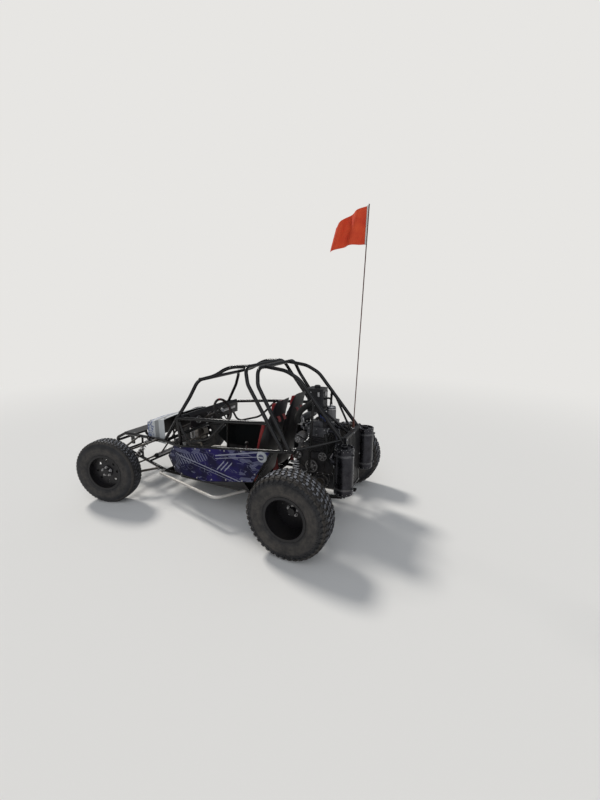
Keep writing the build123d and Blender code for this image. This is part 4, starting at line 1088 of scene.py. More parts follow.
# Frame points on the left side
FRAME = {
    "rail_front": at(0.470, -1.590, 0.985), "rail_mid": at(0.525, -1.000, 1.042), "rail_rear": at(0.514, -0.391, 1.085),
    "pillar_mid": at(0.428, -1.425, 1.235), "cowl": at(0.400, -1.885, 0.655), "waist_front": at(0.520, -1.530, 0.672),
    "hoop_foot": at(0.545, -0.215, 0.835), "hoop_elbow": at(0.470, -0.640, 1.440),
    "second_foot": at(0.545, -0.145, 0.850), "second_elbow": at(0.470, -0.524, 1.440),
    "waist_end": at(0.545, -0.085, 0.855), "pillar_foot": at(0.410, -1.590, 0.270),
    "floor_front": at(0.400, -1.900, 0.270), "floor_rear": at(0.410, -0.680, 0.270),
    "kick_top": at(0.530, -0.335, 0.817),
    "roof_start": at(0.360, -1.335, 1.420), "roof_front": at(0.365, -1.120, 1.477),
    "roof_mid": at(0.355, -0.950, 1.580),
    "roof_end": at(0.320, -0.710, 1.595), "stay_start": at(0.250, -0.565, 1.595), "stay_next": at(0.250, -0.330, 1.565),
    "stay_bend": at(0.250, -0.185, 1.490), "tail_top": at(0.262, 0.270, 0.935), "tail_low": at(0.262, 0.270, 0.345),
    "tail_mid": at(0.262, 0.270, 0.640), "brace_top": at(0.254, -0.030, 1.301), "brace_foot": at(0.255, -0.090, 0.339),
    "nose_bend": at(0.255, -2.480, 0.590), "nose_top": at(0.225, -2.790, 0.570), "nose_tip": at(0.235, -2.931, 0.460),
    "nose_low": at(0.225, -2.770, 0.350), "nose_brace": at(0.265, -2.420, 0.592),
    "nose_brace_foot": at(0.287, -2.420, 0.318),
    "step_front": at(0.410, -1.925, 0.272), "step_front_out": at(0.512, -1.893, 0.288),
    "step_rear": at(0.410, -0.730, 0.270), "step_rear_out": at(0.752, -0.885, 0.300),
    "door_end": at(0.525, -0.880, 1.050), "door_low": at(0.519, -1.130, 0.815),
}
MAIN_R, BRACE_R, STEP_R = 0.019, 0.013, 0.015
# Welds: place, where the branch leads, the tube that it meets (a point on it, or X across the car), radii
WELDS = [
    ("rail_front", "rail_mid", "pillar_mid", MAIN_R, MAIN_R), ("rail_front", "cowl", "pillar_mid", MAIN_R, MAIN_R),
    ("rail_front", "pillar_foot", X, MAIN_R, MAIN_R), ("rail_rear", "rail_mid", "hoop_elbow", MAIN_R, MAIN_R),
    ("hoop_foot", "hoop_elbow", "waist_front", MAIN_R, MAIN_R),
    ("second_foot", "second_elbow", "hoop_foot", MAIN_R, MAIN_R),
    ("floor_rear", "kick_top", "floor_front", BRACE_R, MAIN_R),
    ("kick_top", "floor_rear", "hoop_foot", BRACE_R, MAIN_R),
    ("cowl", "waist_front", X, MAIN_R, MAIN_R), ("cowl", "nose_bend", X, MAIN_R, MAIN_R),
    ("pillar_foot", "rail_front", "floor_front", MAIN_R, MAIN_R), ("roof_start", "roof_front", X, MAIN_R, MAIN_R),
    ("roof_end", "roof_mid", X, MAIN_R, MAIN_R), ("stay_start", "stay_next", X, MAIN_R, MAIN_R),
    ("tail_top", "second_foot", "tail_low", BRACE_R, MAIN_R), ("second_foot", "tail_top", "hoop_foot", BRACE_R, MAIN_R),
    ("brace_top", "brace_foot", "tail_top", BRACE_R, MAIN_R), ("brace_foot", "brace_top", "tail_low", BRACE_R, MAIN_R),
    ("tail_low", "tail_top", X, MAIN_R, MAIN_R), ("nose_brace", "nose_brace_foot", "nose_bend", BRACE_R, MAIN_R),
    ("nose_brace_foot", "nose_brace", "nose_low", BRACE_R, MAIN_R),
    ("step_front", "step_front_out", "floor_rear", STEP_R, MAIN_R),
    ("step_rear", "step_rear_out", "floor_front", STEP_R, MAIN_R),
    ("door_end", "door_low", "rail_mid", BRACE_R, MAIN_R),
]
CROSS_WELDS = [("nose_top", "nose_bend", 0.017), ("nose_tip", "nose_top", 0.017), ("tail_top", "tail_low", MAIN_R),
               ("tail_mid", "tail_low", BRACE_R), ("cowl", "floor_front", MAIN_R), ("rail_front", "cowl", MAIN_R),
               ("floor_front", "floor_rear", MAIN_R), ("floor_rear", "tail_low", MAIN_R),
               ("tail_low", "floor_rear", MAIN_R)]
WELD_STEPS, WELD_PITCH = 28, 0.0046


def saddle(joint, toward, along, branch_r, main_r, mark):
    """Closed line where a branch tube meets the tube under it."""
    joint, toward, along = [on_side(vector, mark) for vector in (joint, toward, along)]
    axis = (toward - joint).normalized()
    along.normalize()
    flat = (along - axis * along.dot(axis)).normalized()
    side = axis.cross(flat)
    lean = max(0.35, math.sqrt(1 - along.dot(axis) ** 2))
    points = []
    for turn in turns(WELD_STEPS):
        offset = (flat * math.cos(turn) + side * math.sin(turn)) * (branch_r + 0.0006)
        depth = math.sqrt(max(0.0, main_r ** 2 - offset.dot(side) ** 2)) / lean
        depth -= offset.dot(flat) * along.dot(axis) / lean ** 2 * (1 if lean > 0.36 else 0)
        points.append(joint + offset + axis * (depth + 0.0015))
    return points


def make_welds():
    """Rows of small ripples where the frame's tubes are welded, both sides in one piece."""
    ripple = to_mesh(pellet(0.0042, (0.75, 1.0, 0.8)))
    lines = []
    for mark in (1, -1):
        for place, far, main, branch_r, main_r in WELDS:
            along = main if isinstance(main, Vector) else FRAME[main] - FRAME[place]
            lines.append(saddle(FRAME[place], FRAME[far], along, branch_r, main_r, mark))
        for place, main, branch_r in CROSS_WELDS:
            joint = FRAME[place]
            lines.append(saddle(joint, joint - X, FRAME[main] - joint, branch_r, MAIN_R, mark))
    beads = [strung(ripple, line, WELD_PITCH, closed=True) for line in lines]
    add_to_scene("weld_beads", "weld", join(*beads, crease=math.pi))


# Struts of the left side: lower eye, upper eye, coil radius, wire radius, turns
STRUTS = {
    "front": (at(0.560, -2.3318, 0.3099), at(0.3721, -2.174, 0.6288), 0.0275, 0.0048, 9.5),
    "rear": (at(0.635, -0.040, 0.4755), at(0.545, -0.077, 0.815), 0.0272, 0.0050, 10.5),
}
STRUT_FOOT, STRUT_HEAD = 0.060, 0.045


def strut_parts(low, high, coil_r, wire_r, turn_count):
    """Meshes of a coil-over strut by finish: spring, dark metal, bright metal and rubber."""
    reach = (high - low).length
    stand = facing(low, high - low, Y)
    start, end = STRUT_FOOT + 0.004, reach - STRUT_HEAD - 0.004
    coil = grown(coil_tree, Turns=turn_count, Radius=coil_r, Length=end - start, Wire=wire_r)
    spring = placed(coil, stand, Matrix.Translation((0, 0, start)))
    body_top = start + (end - start) * 0.62
    body = lathe([(0, 0.016), (0.013, 0.016), (0.0195, 0.024), (0.0195, start - 0.012), (0.0205, start - 0.010),
                  (0.0205, body_top - 0.020), (0.0190, body_top - 0.018), (0.0190, body_top - 0.006),
                  (0.0150, body_top), (0, body_top)], 32)
    rod = lathe([(0, body_top - 0.002), (0.0065, body_top - 0.002), (0.0065, reach - 0.016), (0, reach - 0.016)], 20)
    collars = [lathe([(0.0200, s), (0.0316, s), (0.0316, s + 0.003), (0.0290, s + 0.006), (0.0200, s + 0.006)], 36)
               for s in (start - 0.0095, end + 0.0035)]
    nut = lathe([(0.0200, start - 0.020), (0.0265, start - 0.020), (0.0275, start - 0.018), (0.0275, start - 0.0125),
                 (0.0265, start - 0.0105), (0.0200, start - 0.0105)], 18)
    bump_stop = lathe([(0.007, end - 0.034), (0.0125, end - 0.034), (0.0155, end - 0.026), (0.0120, end - 0.020),
                       (0.0160, end - 0.012), (0.0160, end), (0.007, end)], 24)
    rubber = [placed(bump_stop, stand, UPRIGHT)]
    bright = [placed(made, stand, UPRIGHT) for made in (rod, *collars, nut)]
    dark = [placed(body, stand, UPRIGHT)]
    for eye in (low, high):
        turned = Matrix.Translation(eye) @ Matrix.Rotation(math.pi / 2, 4, "Z")
        ring = lathe([(0.0115, -0.0125), (0.0170, -0.0125), (0.0188, -0.0105), (0.0188, 0.0105), (0.0170, 0.0125),
                      (0.0115, 0.0125)], 32)
        bush = lathe([(0.0062, -0.0145), (0.0110, -0.0145), (0.0110, 0.0145), (0.0062, 0.0145)], 24)
        half_bolt = [(0, 0.030), (0.0085, 0.030), (0.0085, 0.0225), (0.0060, 0.0225)]
        bolt = lathe([(r, -x) for r, x in half_bolt] + half_bolt[::-1], 6)
        dark.append(placed(ring, turned))
        rubber.append(placed(bush, turned))
        bright.append(placed(bolt, turned))
        lift = 0.008 if eye is high else -0.008
        dark += [slab(eye + Vector((0, away, lift)), (0.034, 0.004, 0.046), 0.0015) for away in (-0.0185, 0.0185)]
    return [spring], dark, bright, rubber


def make_struts():
    looks = (("spring", "spring_steel"), ("damper", "arm_black"), ("strut_bright", "steel"),
             ("strut_rubber", "grip_rubber"))
    for end, values in STRUTS.items():
        for (label, finish), meshes in zip(looks, strut_parts(*values)):
            mesh = meshes[0] if len(meshes) == 1 else join(*meshes)
            piece = add_to_scene("%s_%s" % (end, label), finish, mirrored_too(mesh))
            if label == "spring":
                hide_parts(end + "_shocks")


def bellows(start, end, large, small, ribs):
    """Ribbed rubber boot between two points, wide at its start."""
    cuff = 0.008
    reach = (end - start).length
    pitch = (reach - 2 * cuff) / ribs
    profile = [(small * 0.7, 0.0), (large, 0.0), (large, cuff)]
    for rib in range(ribs):
        radius = large + (small - large) * rib / ribs
        here = cuff + pitch * rib
        profile += [(radius * 0.86, here + pitch * 0.25), (radius, here + pitch * 0.75)]
    profile += [(small, reach - cuff), (small, reach), (small * 0.7, reach)]
    return drum(start, end - start, profile, 30)


# Bushings of the left side's wishbones, rear and front, and its lower and upper ball joints
PIVOTS = [(at(0.4088, -2.0370, 0.2820), at(0.3182, -2.4870, 0.3233)),
          (at(0.3705, -2.0160, 0.6402), at(0.2730, -2.4358, 0.5948))]
BALL_JOINTS = [(at(0.735, -2.360, 0.250), -Z), (at(0.735, -2.360, 0.505), Z)]
SHAFT_UP = 0.3935
RACK = at(0, -2.240, 0.352)


def make_suspension_details():
    """Bushing bolts, drive shaft boots, rack boots and ball joint caps."""
    spots = []
    for rear, front in PIVOTS:
        along = (rear - front).normalized()
        spots += [(pivot + way * 0.0225, way) for pivot in (rear, front) for way in (along, -along)]
    set_bolts("arm_bolts", both_sides(spots), 0.019, 0.010)
    boots = [bellows(at(start, 0, SHAFT_UP), at(end, 0, SHAFT_UP), 0.045, 0.021, 4)
             for start, end in ((0.187, 0.262), (0.548, 0.478))]
    fit_out("drive_boots", "grip_rubber", mirrored_too(join(*boots)))
    gaiters = [bellows(RACK + X * (mark * 0.2155), RACK + X * (mark * 0.262), 0.0265, 0.0165, 4) for mark in (1, -1)]
    fit_out("rack_boots", "grip_rubber", *gaiters)
    profile = [(0, 0.0205), (0.011, 0.0215), (0.018, 0.0225), (0.0245, 0.0245), (0.0250, 0.019), (0, 0.019)]
    caps = [drum(spot, way, profile, 24) for spot, way in BALL_JOINTS]
    fit_out("ball_joint_caps", "steel", mirrored_too(join(*caps)))


def brake_disc(radius, width, reach):
    """Vented brake disc about X with a groove round its edge and a bell."""
    half = [(0.060, width / 2), (radius, width / 2), (radius, width * 0.16), (radius - 0.006, width * 0.14)]
    ring = lathe([(r, -x) for r, x in half] + half[::-1], 72)
    bell = lathe([(0.046, -width / 2 - 0.004), (0.068, -width / 2 - 0.004), (0.068, width / 2 + reach),
                  (0.046, width / 2 + reach)], 48)
    return join(to_mesh(ring), to_mesh(bell))


CALIPER_ARC, CALIPER_STEPS = 0.42, 10


def caliper(radius, reach, width):
    """Caliper that bridges the disc over an arc, with its two bosses."""
    inner, outer = radius - reach, radius + 0.014
    body = bmesh.new()
    outline = [(inner, -width), (radius + 0.010, -width), (outer, -width * 0.7), (outer, width * 0.7),
               (radius + 0.010, width), (inner, width), (inner, width * 0.45), (radius + 0.004, width * 0.45),
               (radius + 0.004, -width * 0.45), (inner, -width * 0.45)]
    rings = arc_rows(body, outline, [CALIPER_ARC * (2 * step / CALIPER_STEPS - 1) for step in range(CALIPER_STEPS + 1)])
    skin(body, rings)
    body.faces.new(rings[0][::-1])
    body.faces.new(rings[-1])
    parts = [to_mesh(outward(body))]
    for turn in (-0.2, 0.2):
        boss = to_mesh(lathe([(0, width), (0.014, width), (0.012, width + 0.006), (0, width + 0.006)], 20))
        spin = Matrix.Rotation(-turn, 4, "X") @ Matrix.Translation((0, 0, radius - reach * 0.5))
        parts.append(copied(boss, spin @ Matrix.Scale(-1, 4, X)))
    return join(*parts)


# Brakes: place along the axle, disc radius, reach of its bell, place of the caliper round it
BRAKES = {"front": (-0.046, 0.118, 0.0, 2.2), "rear": (-0.118, 0.122, 0.0085, -1.2)}


def make_brakes():
    """Discs that turn with the wheels, calipers on the knuckles and rear arms."""
    for side, out in (("left", 1), ("right", -1)):
        for end, (along, radius, reach, turn) in BRAKES.items():
            where = "%s_%s" % (end, side)
            matrix = axle_matrix("roll_" + where, out) @ Matrix.Translation((along, 0, 0))
            disc = placed(brake_disc(radius, 0.012, reach), matrix)
            add_to_scene("brake_disc_" + where, "disc_steel", disc, body="wheel_" + where)
            holder = "knuckle_" + side if end == "front" else "chassis"
            spin = matrix @ Matrix.Rotation(turn * out if end == "front" else turn, 4, "X")
            bracket = placed(block((0.008, 0.050, 0.080), 0.002), spin, Matrix.Translation((-0.024, 0, radius - 0.052)))
            fit_out("caliper_" + where, "cast_grey", placed(caliper(radius, 0.034, 0.020), spin), bracket, body=holder)


# Engine bay dressing
ENGINE_X = -0.015
BELT_X, BELT_WIDTH, BELT_THICK = 0.218, 0.0155, 0.0042
# Belt pulleys: place behind the rear axle, height, radius; the third one drives the alternator
BELT_PULLEYS = [(-0.060, 0.600, 0.068), (-0.215, 0.700, 0.042), (-0.215, 0.862, 0.036), (0.060, 0.720, 0.045)]
PORTS = (-0.135, -0.045, 0.045, 0.135)


def hull(points):
    """Convex outline round flat points."""
    points = sorted(set(points))
    outline = []
    for run in (points, points[::-1]):
        line = []
        for p in run:
            while len(line) > 1 and ((line[-1][0] - line[-2][0]) * (p[1] - line[-2][1])
                                     - (line[-1][1] - line[-2][1]) * (p[0] - line[-2][0])) <= 0:
                line.pop()
            line.append(p)
        outline += line[:-1]
    return outline


def make_belt():
    """Belt round the pulleys, and the pulleys' faces and nuts."""
    around = [(back + (radius + BELT_THICK) * math.cos(t), up + (radius + BELT_THICK) * math.sin(t))
              for back, up, radius in BELT_PULLEYS for t in turns(72)]
    outer = [Vector(point) for point in hull([(round(back, 6), round(up, 6)) for back, up in around])]
    middle = sum(outer, Vector((0, 0))) / len(outer)
    inner = []
    for before, point, after in zip(outer[-1:] + outer, outer, outer[1:] + outer[:1]):
        along = (after - before).normalized()
        inward = Vector((-along.y, along.x))
        inner.append(point + inward * math.copysign(BELT_THICK - 0.0006, inward.dot(middle - point)))
    made = bmesh.new()
    rings = [[made.verts.new(at(BELT_X + across * BELT_WIDTH / 2, *point)) for point in outline]
             for outline, across in ((inner, -1), (outer, -1), (outer, 1), (inner, 1))]
    skin(made, rings + rings[:1])
    fit_out("drive_belt", "grip_rubber", to_mesh(outward(made)))
    faces, nuts = [], []
    for back, up, radius in BELT_PULLEYS:
        hub = at(BELT_X + 0.010, back, up)
        faces.append(drum(hub, X, [(radius * 0.80, 0), (radius * 0.99, 0), (radius * 0.99, 0.0025),
                                   (radius * 0.84, 0.0035), (radius * 0.80, 0.001)], 48))
        faces.append(drum(hub, X, [(0, 0), (radius * 0.40, 0), (radius * 0.34, 0.006), (0, 0.006)], 32))
        nuts += [(hub + X * 0.006, X)] + ring_spots(hub + X * 0.0005, radius * 0.60, turns(5), X)
    fit_out("pulley_faces", "cast_grey", *faces, slot="alloy")
    set_bolts("pulley_bolts", nuts, 0.012, 0.006)


def make_alternator():
    """Alternator on the crankcase's front shelf, with its pulley, vents, ears and two feet."""
    back, up = BELT_PULLEYS[2][:2]
    shell = [(0, 0), (0.030, 0), (0.046, 0.010), (0.0545, 0.022), (0.0545, 0.050), (0.0575, 0.052), (0.0575, 0.062),
             (0.0545, 0.064), (0.0545, 0.096), (0.044, 0.112), (0.018, 0.118), (0.018, 0.137), (0, 0.137)]
    parts = [drum(at(0.072, back, up), X, shell, 44)]
    vent = to_mesh(block((0.005, 0.012, 0.010), 0.001))
    for along, radius in ((0.083, 0.0495), (0.181, 0.0475)):
        ring = grown(ring_tree, vent, Count=18, Radius=radius, Across=along)
        parts.append(placed(ring, Matrix.Translation(at(0, back, up))))
    for along in (0.100, 0.160):
        parts.append(slab(at(along, back - 0.006, up - 0.084), (0.012, 0.030, 0.066), 0.003))
    parts.append(slab(at(0.130, back - 0.006, 0.7485), (0.095, 0.050, 0.008)))
    fit_out("alternator", "cast_grey", *parts)
    wheel = drum(at(BELT_X - 0.010, back, up), X, washer(0, 0.036, 0.020), 44)
    fit_out("alternator_pulley", "cast_grey", wheel, slot="shock_metal")
    set_bolts("alternator_bolts", ring_spots(at(0.179, back, up), 0.040, (0.5, 2.1, 3.7, 5.2), X, Z, Y), 0.009, 0.006)


def bent(points, parts=4):
    """Points of a smooth line through the middles of a polyline's runs."""
    line = [points[0]]
    for a, b, c in zip(points, points[1:], points[2:]):
        p, q = (a + b) / 2, (b + c) / 2
        for step in range(parts):
            t = step / parts
            line.append(p * (1 - t) ** 2 + b * (2 * t * (1 - t)) + q * t * t)
    return line + [points[-1]]


PLENUM = at(0.155, -0.215, 1.053)
DUCT = [at(0.195, -0.215, 1.053), at(0.232, -0.215, 1.058), at(0.238, -0.210, 1.115), at(0.215, -0.170, 1.185),
        at(0.150, -0.120, 1.222), at(0.074, -0.110, 1.228)]
BREATHER = at(0, 0.062, 0)
BREATHER_HOSE = [at(0, 0.062, 1.216), at(0.002, 0.062, 1.262), at(0.010, 0.036, 1.278), at(0.016, 0.010, 1.270),
                 at(0.016, -0.010, 1.262)]
DRAIN_HOSE = [at(0.046, 0.066, 1.045), at(0.092, 0.080, 1.040), at(0.112, 0.092, 0.990), at(0.116, 0.100, 0.930),
              at(0.162, 0.106, 0.870), at(0.176, 0.110, 0.800), at(0.168, 0.120, 0.735)]


def make_intake():
    """Throttle body, ribbed duct up to the air box, fuel rail with injectors, breather hoses and clamps."""
    body = [(0, 0), (0.044, 0), (0.044, 0.007), (0.034, 0.009), (0.034, 0.040), (0.037, 0.042), (0.037, 0.050),
            (0, 0.050)]
    fit_out("throttle_body", "alloy", drum(PLENUM, X, body, 36),
            drum(PLENUM + Vector((0.024, -0.030, 0)), -Y, can(0.014, 0.022), 20),
            slab(PLENUM + Vector((0.024, 0, 0.040)), (0.022, 0.020, 0.016)))
    set_bolts("throttle_bolts", ring_spots(PLENUM + X * 0.007, 0.039, (0.8, 2.35, 3.95, 5.5), X, Z, Y), 0.008, 0.005)
    rib = lathe([(0.024, -0.0028), (0.0285, -0.0028), (0.0310, 0), (0.0285, 0.0028), (0.024, 0.0028)], 28)
    fit_out("intake_duct", "grip_rubber", strung(rib, bent(DUCT), 0.0066), pipe(bent(DUCT), 0.0275, 32, False))
    clamps = [drum(end + X * off, X, band(0.0315, 0.009), 32) for end, off in ((DUCT[0], 0.002), (DUCT[-1], 0.004))]
    rail = [drum(at(-0.170, -0.163, 1.000), X, can(0.0085, 0.310), 20)]
    for port in PORTS:
        rail.append(drum(at(port, -0.163, 0.996), -Z, can(0.0065, 0.020), 16))
        clamps.append(drum(at(port, -0.186, 0.962), Y, band(0.0182, 0.008)))
        clamps.append(drum(at(port, -0.215, 0.998), Z, band(0.0182, 0.008)))
    fit_out("fuel_rail", "alloy", *rail)
    clamps += [drum(BREATHER + Z * up, Z, band(0.0462, 0.010), 40) for up in (1.030, 1.160)]
    fit_out("intake_clamps", "steel", *clamps)
    fit_out("breather_cap", "steel", drum(BREATHER + Z * 1.183, Z, [
        (0, 0), (0.046, 0), (0.044, 0.006), (0.018, 0.008), (0.018, 0.014), (0.011, 0.016), (0.011, 0.034),
        (0, 0.034)], 32))
    sleeve = drum(BREATHER + Z * 1.060, Z, band(0.0464, 0.092), 48)
    fit_out("breather_sleeve", "cast_grey", sleeve, slot="shock_metal")
    fit_out("breather_hoses", "grip_rubber", pipe(BREATHER_HOSE, 0.010, 20), pipe(DRAIN_HOSE, 0.0095, 20))


HEAD_TOP = 1.0650
COIL_PACK = at(0.120, 0.052, 1.0275)
LOOM = [at(-0.215, -0.262, 0.56), at(-0.210, -0.275, 0.72), at(-0.190, -0.270, 0.90), at(-0.120, -0.266, 1.000),
        at(0.020, -0.266, 1.012), at(0.110, -0.266, 1.000), at(0.166, -0.262, 0.950), at(0.160, -0.262, 0.905)]
COOLANT_HOSE = [at(0.176, 0.070, 0.930), at(0.206, 0.086, 0.930), at(0.222, 0.100, 0.890), at(0.222, 0.104, 0.800),
                at(0.206, 0.100, 0.700), at(0.180, 0.112, 0.660), at(0.168, 0.130, 0.640)]


def make_head_details():
    """Cover bolts, filler, spark leads, coil pack and loom."""
    spots = [(at(ENGINE_X + x, back, 1.0053), Z) for x in (-0.165, -0.055, 0.055, 0.165) for back in (-0.097, 0.047)
             if not (abs(ENGINE_X + x) < 0.055 and back > 0)]
    spots += [(at(ENGINE_X + x, -0.130, 0.955 + z), -Y) for x in (-0.175, 0.175) for z in (-0.030, 0.030)]
    spots += [(at(ENGINE_X + 0.195, back, z), X) for back in (-0.110, -0.025, 0.060) for z in (0.925, 0.985)]
    spots += [(at(ENGINE_X + x, -0.025, HEAD_TOP + 0.0003), Z) for x in (-0.150, 0.150)]
    set_bolts("head_bolts", spots, 0.012, 0.007)
    fit_out("oil_filler", "black_plastic", drum(at(0.105, -0.035, HEAD_TOP), Z, [
        (0, 0), (0.022, 0), (0.022, 0.006), (0.027, 0.008), (0.027, 0.020), (0.024, 0.023), (0, 0.023)], 18))
    outlets = [COIL_PACK + Vector((-0.030 + 0.020 * i, 0.002, 0)) for i in range(4)]
    fit_out("coil_pack", "black_plastic", slab(COIL_PACK, (0.084, 0.044, 0.044), 0.004),
            *[drum(outlet + Z * 0.021, Z, can(0.0075, 0.018), 14) for outlet in outlets])
    leads, boots = [], []
    for i, port in enumerate((-0.135, -0.045, 0.060, 0.145)):
        plug = at(port, 0.006, HEAD_TOP)
        boots.append(drum(plug, Z, [(0, 0), (0.010, 0), (0.010, 0.010), (0.0075, 0.013), (0.0075, 0.030),
                                    (0, 0.030)], 16))
        start, end = plug + Z * 0.028, outlets[i] + Z * 0.036
        lift = 0.048 - 0.006 * i
        leads.append(pipe([start, start + Z * lift, start.lerp(end, 0.35) + Vector((0, -0.030, lift + 0.008)),
                           start.lerp(end, 0.75) + Vector((0, -0.020, lift)), end + Z * 0.022, end], 0.0036, 14))
    fit_out("spark_leads", "lead_blue", *leads)
    fit_out("plug_boots", "grip_rubber", *boots)
    fit_out("engine_loom", "grip_rubber", pipe(LOOM, 0.0075, 16))
    fit_out("coolant_hose", "grip_rubber", pipe(COOLANT_HOSE, 0.0145, 24))


STARTER = at(0.142, -0.215, 0.463)
STARTER_CABLE = [STARTER + Vector((0.026, 0.012, 0.036)), STARTER + Vector((0.030, -0.030, 0.045)),
                 at(0.200, -0.275, 0.500), at(0.215, -0.330, 0.450), at(0.230, -0.420, 0.330)]


def make_block_details():
    """Crankcase ribs, sump bolts, oil filter, starter, gearbox ribs and flanges."""
    ribs = [slab(at(ENGINE_X + mark * 0.2165, back, 0.580), (0.007, 0.008, 0.100), 0.001)
            for mark in (-1, 1) for back in (-0.200, 0.000, 0.070)]
    ribs += [slab(at(ENGINE_X, -0.060, 0.5300), (0.444, 0.414, 0.012), 0.003)]
    ribs += [slab(at(ENGINE_X + x, 0.1425, 0.630), (0.008, 0.006, 0.160), 0.001) for x in (-0.15, -0.09, -0.03, 0.03)]
    fit_out("crankcase_ribs", "cast_dark", *ribs)
    spots = [(at(ENGINE_X + mark * 0.222, -0.240 + 0.060 * i, 0.530), X * mark) for mark in (-1, 1) for i in range(7)]
    spots += [(at(ENGINE_X - 0.18 + 0.060 * i, 0.147, 0.530), Y) for i in range(7)]
    set_bolts("sump_bolts", spots, 0.010, 0.006)
    fit_out("oil_filter", "filter_white", drum(at(0.090, 0.139, 0.590), Y, [
        (0, 0), (0.036, 0), (0.036, 0.004), (0.0385, 0.008), (0.0385, 0.078), (0.034, 0.086), (0.020, 0.088),
        (0, 0.088)], 32))
    parts, spots = [], []
    for mark in (-1, 1):
        parts += [slab(at(mark * 0.0975, -0.150 + 0.048 * i, 0.455), (0.008, 0.006, 0.110), 0.001) for i in range(7)]
        parts += [slab(at(mark * 0.0980, -0.010, up), (0.012, 0.330, 0.010)) for up in (0.5165, 0.3260)]
        parts.append(drum(at(mark * 0.125, 0, SHAFT_UP), X * mark, [
            (0, 0), (0.050, 0), (0.050, 0.010), (0.030, 0.012), (0.024, 0.060), (0, 0.060)], 36))
        parts.append(drum(at(mark * 0.098, 0, SHAFT_UP), X * mark, [
            (0.070, 0), (0.082, 0), (0.082, 0.010), (0.0725, 0.010), (0.0715, 0.027), (0.070, 0.027)], 48))
        spots += ring_spots(at(mark * 0.108, 0, SHAFT_UP), 0.0765, turns(8, 0.5), X * mark)
        spots += ring_spots(at(mark * 0.135, 0, SHAFT_UP), 0.040, turns(6), X * mark)
    parts += [slab(at(-0.068 + 0.034 * i, 0.1625, 0.420), (0.006, 0.006, 0.180), 0.001) for i in range(5)]
    fit_out("gearbox_ribs", "cast_grey", *parts)
    spots += [(at(x, 0.160, z), Y) for x in (-0.080, 0.080) for z in (0.345, 0.420, 0.500)]
    set_bolts("gearbox_bolts", spots, 0.010, 0.006)
    fit_out("starter_motor", "steel", drum(STARTER, Y, [
        (0, 0), (0.033, 0), (0.038, 0.006), (0.038, 0.090), (0.034, 0.094), (0.034, 0.112), (0.022, 0.128),
        (0, 0.128)], 32), drum(STARTER + Vector((0.026, 0.010, 0.036)), Y, can(0.019, 0.066), 24))
    fit_out("starter_cable", "lead_red", pipe(STARTER_CABLE, 0.0055, 14))


def make_exhaust_details():
    """Port flanges and nuts, silencer bands with their bolts, lid and seam rivets."""
    flanges, bands, rivets, nuts = [], [], [], []
    for port in PORTS:
        flanges.append(drum(at(port, 0.0803, 0.962), Y, washer(0.0172, 0.026, 0.007)))
        flanges += [slab(at(port, 0.0838, up), (0.022, 0.007, 0.020), 0.003) for up in (0.985, 0.939)]
        nuts += [(at(port, 0.0873, up), Y) for up in (0.989, 0.935)]
    for mark in (1, -1):
        foot = at(mark * 0.355, 0.330, 0)
        for up in (0.500, 0.830):
            middle = foot + Z * (up + 0.010)
            bands.append(drum(foot + Z * up, Z, band(0.0922, 0.020, 0.0018), 56))
            bands.append(slab(middle + Vector((mark * 0.018, 0.0975, 0)), (0.006, 0.014, 0.018), 0.001))
            bands.append(slab(middle + Vector((mark * 0.034, 0.0935, 0)), (0.006, 0.018, 0.018), 0.001))
            nuts.append((middle + Vector((mark * 0.037, 0.098, 0)), X * mark))
        rivets += ring_spots(foot + Z * 0.905, 0.085, turns(12), Z, Y, X)
        for t in turns(14, 0.5):
            out = Vector((math.cos(t), math.sin(t), 0))
            rivets += [(foot + Z * up + out * 0.092, out) for up in (0.462, 0.886)]
        bands.append(drum(foot + Z * 0.9148, Z, washer(0.0262, 0.0318, 0.006), 36))
    fit_out("port_flanges", "steel", *flanges)
    fit_out("silencer_bands", "head_metal", *bands, slot="shock_metal")
    fit_out("silencer_rivets", "steel", studded(prism(circle(0.0042, 10), -0.001, 0.0022, 0.6), rivets))
    set_bolts("exhaust_nuts", nuts, 0.011, 0.008)


AIR_BOX = at(0, -0.095, 0)
# Middle and radius of the air box's rounded corners, its straps' heights, growth and widths
BOX_CORNER, BOX_CORNER_R = (0.055, 0.069), 0.0205
BOX_STRAPS = ((1.160, 1.016, 0.022), (1.328, 1.030, 0.010))


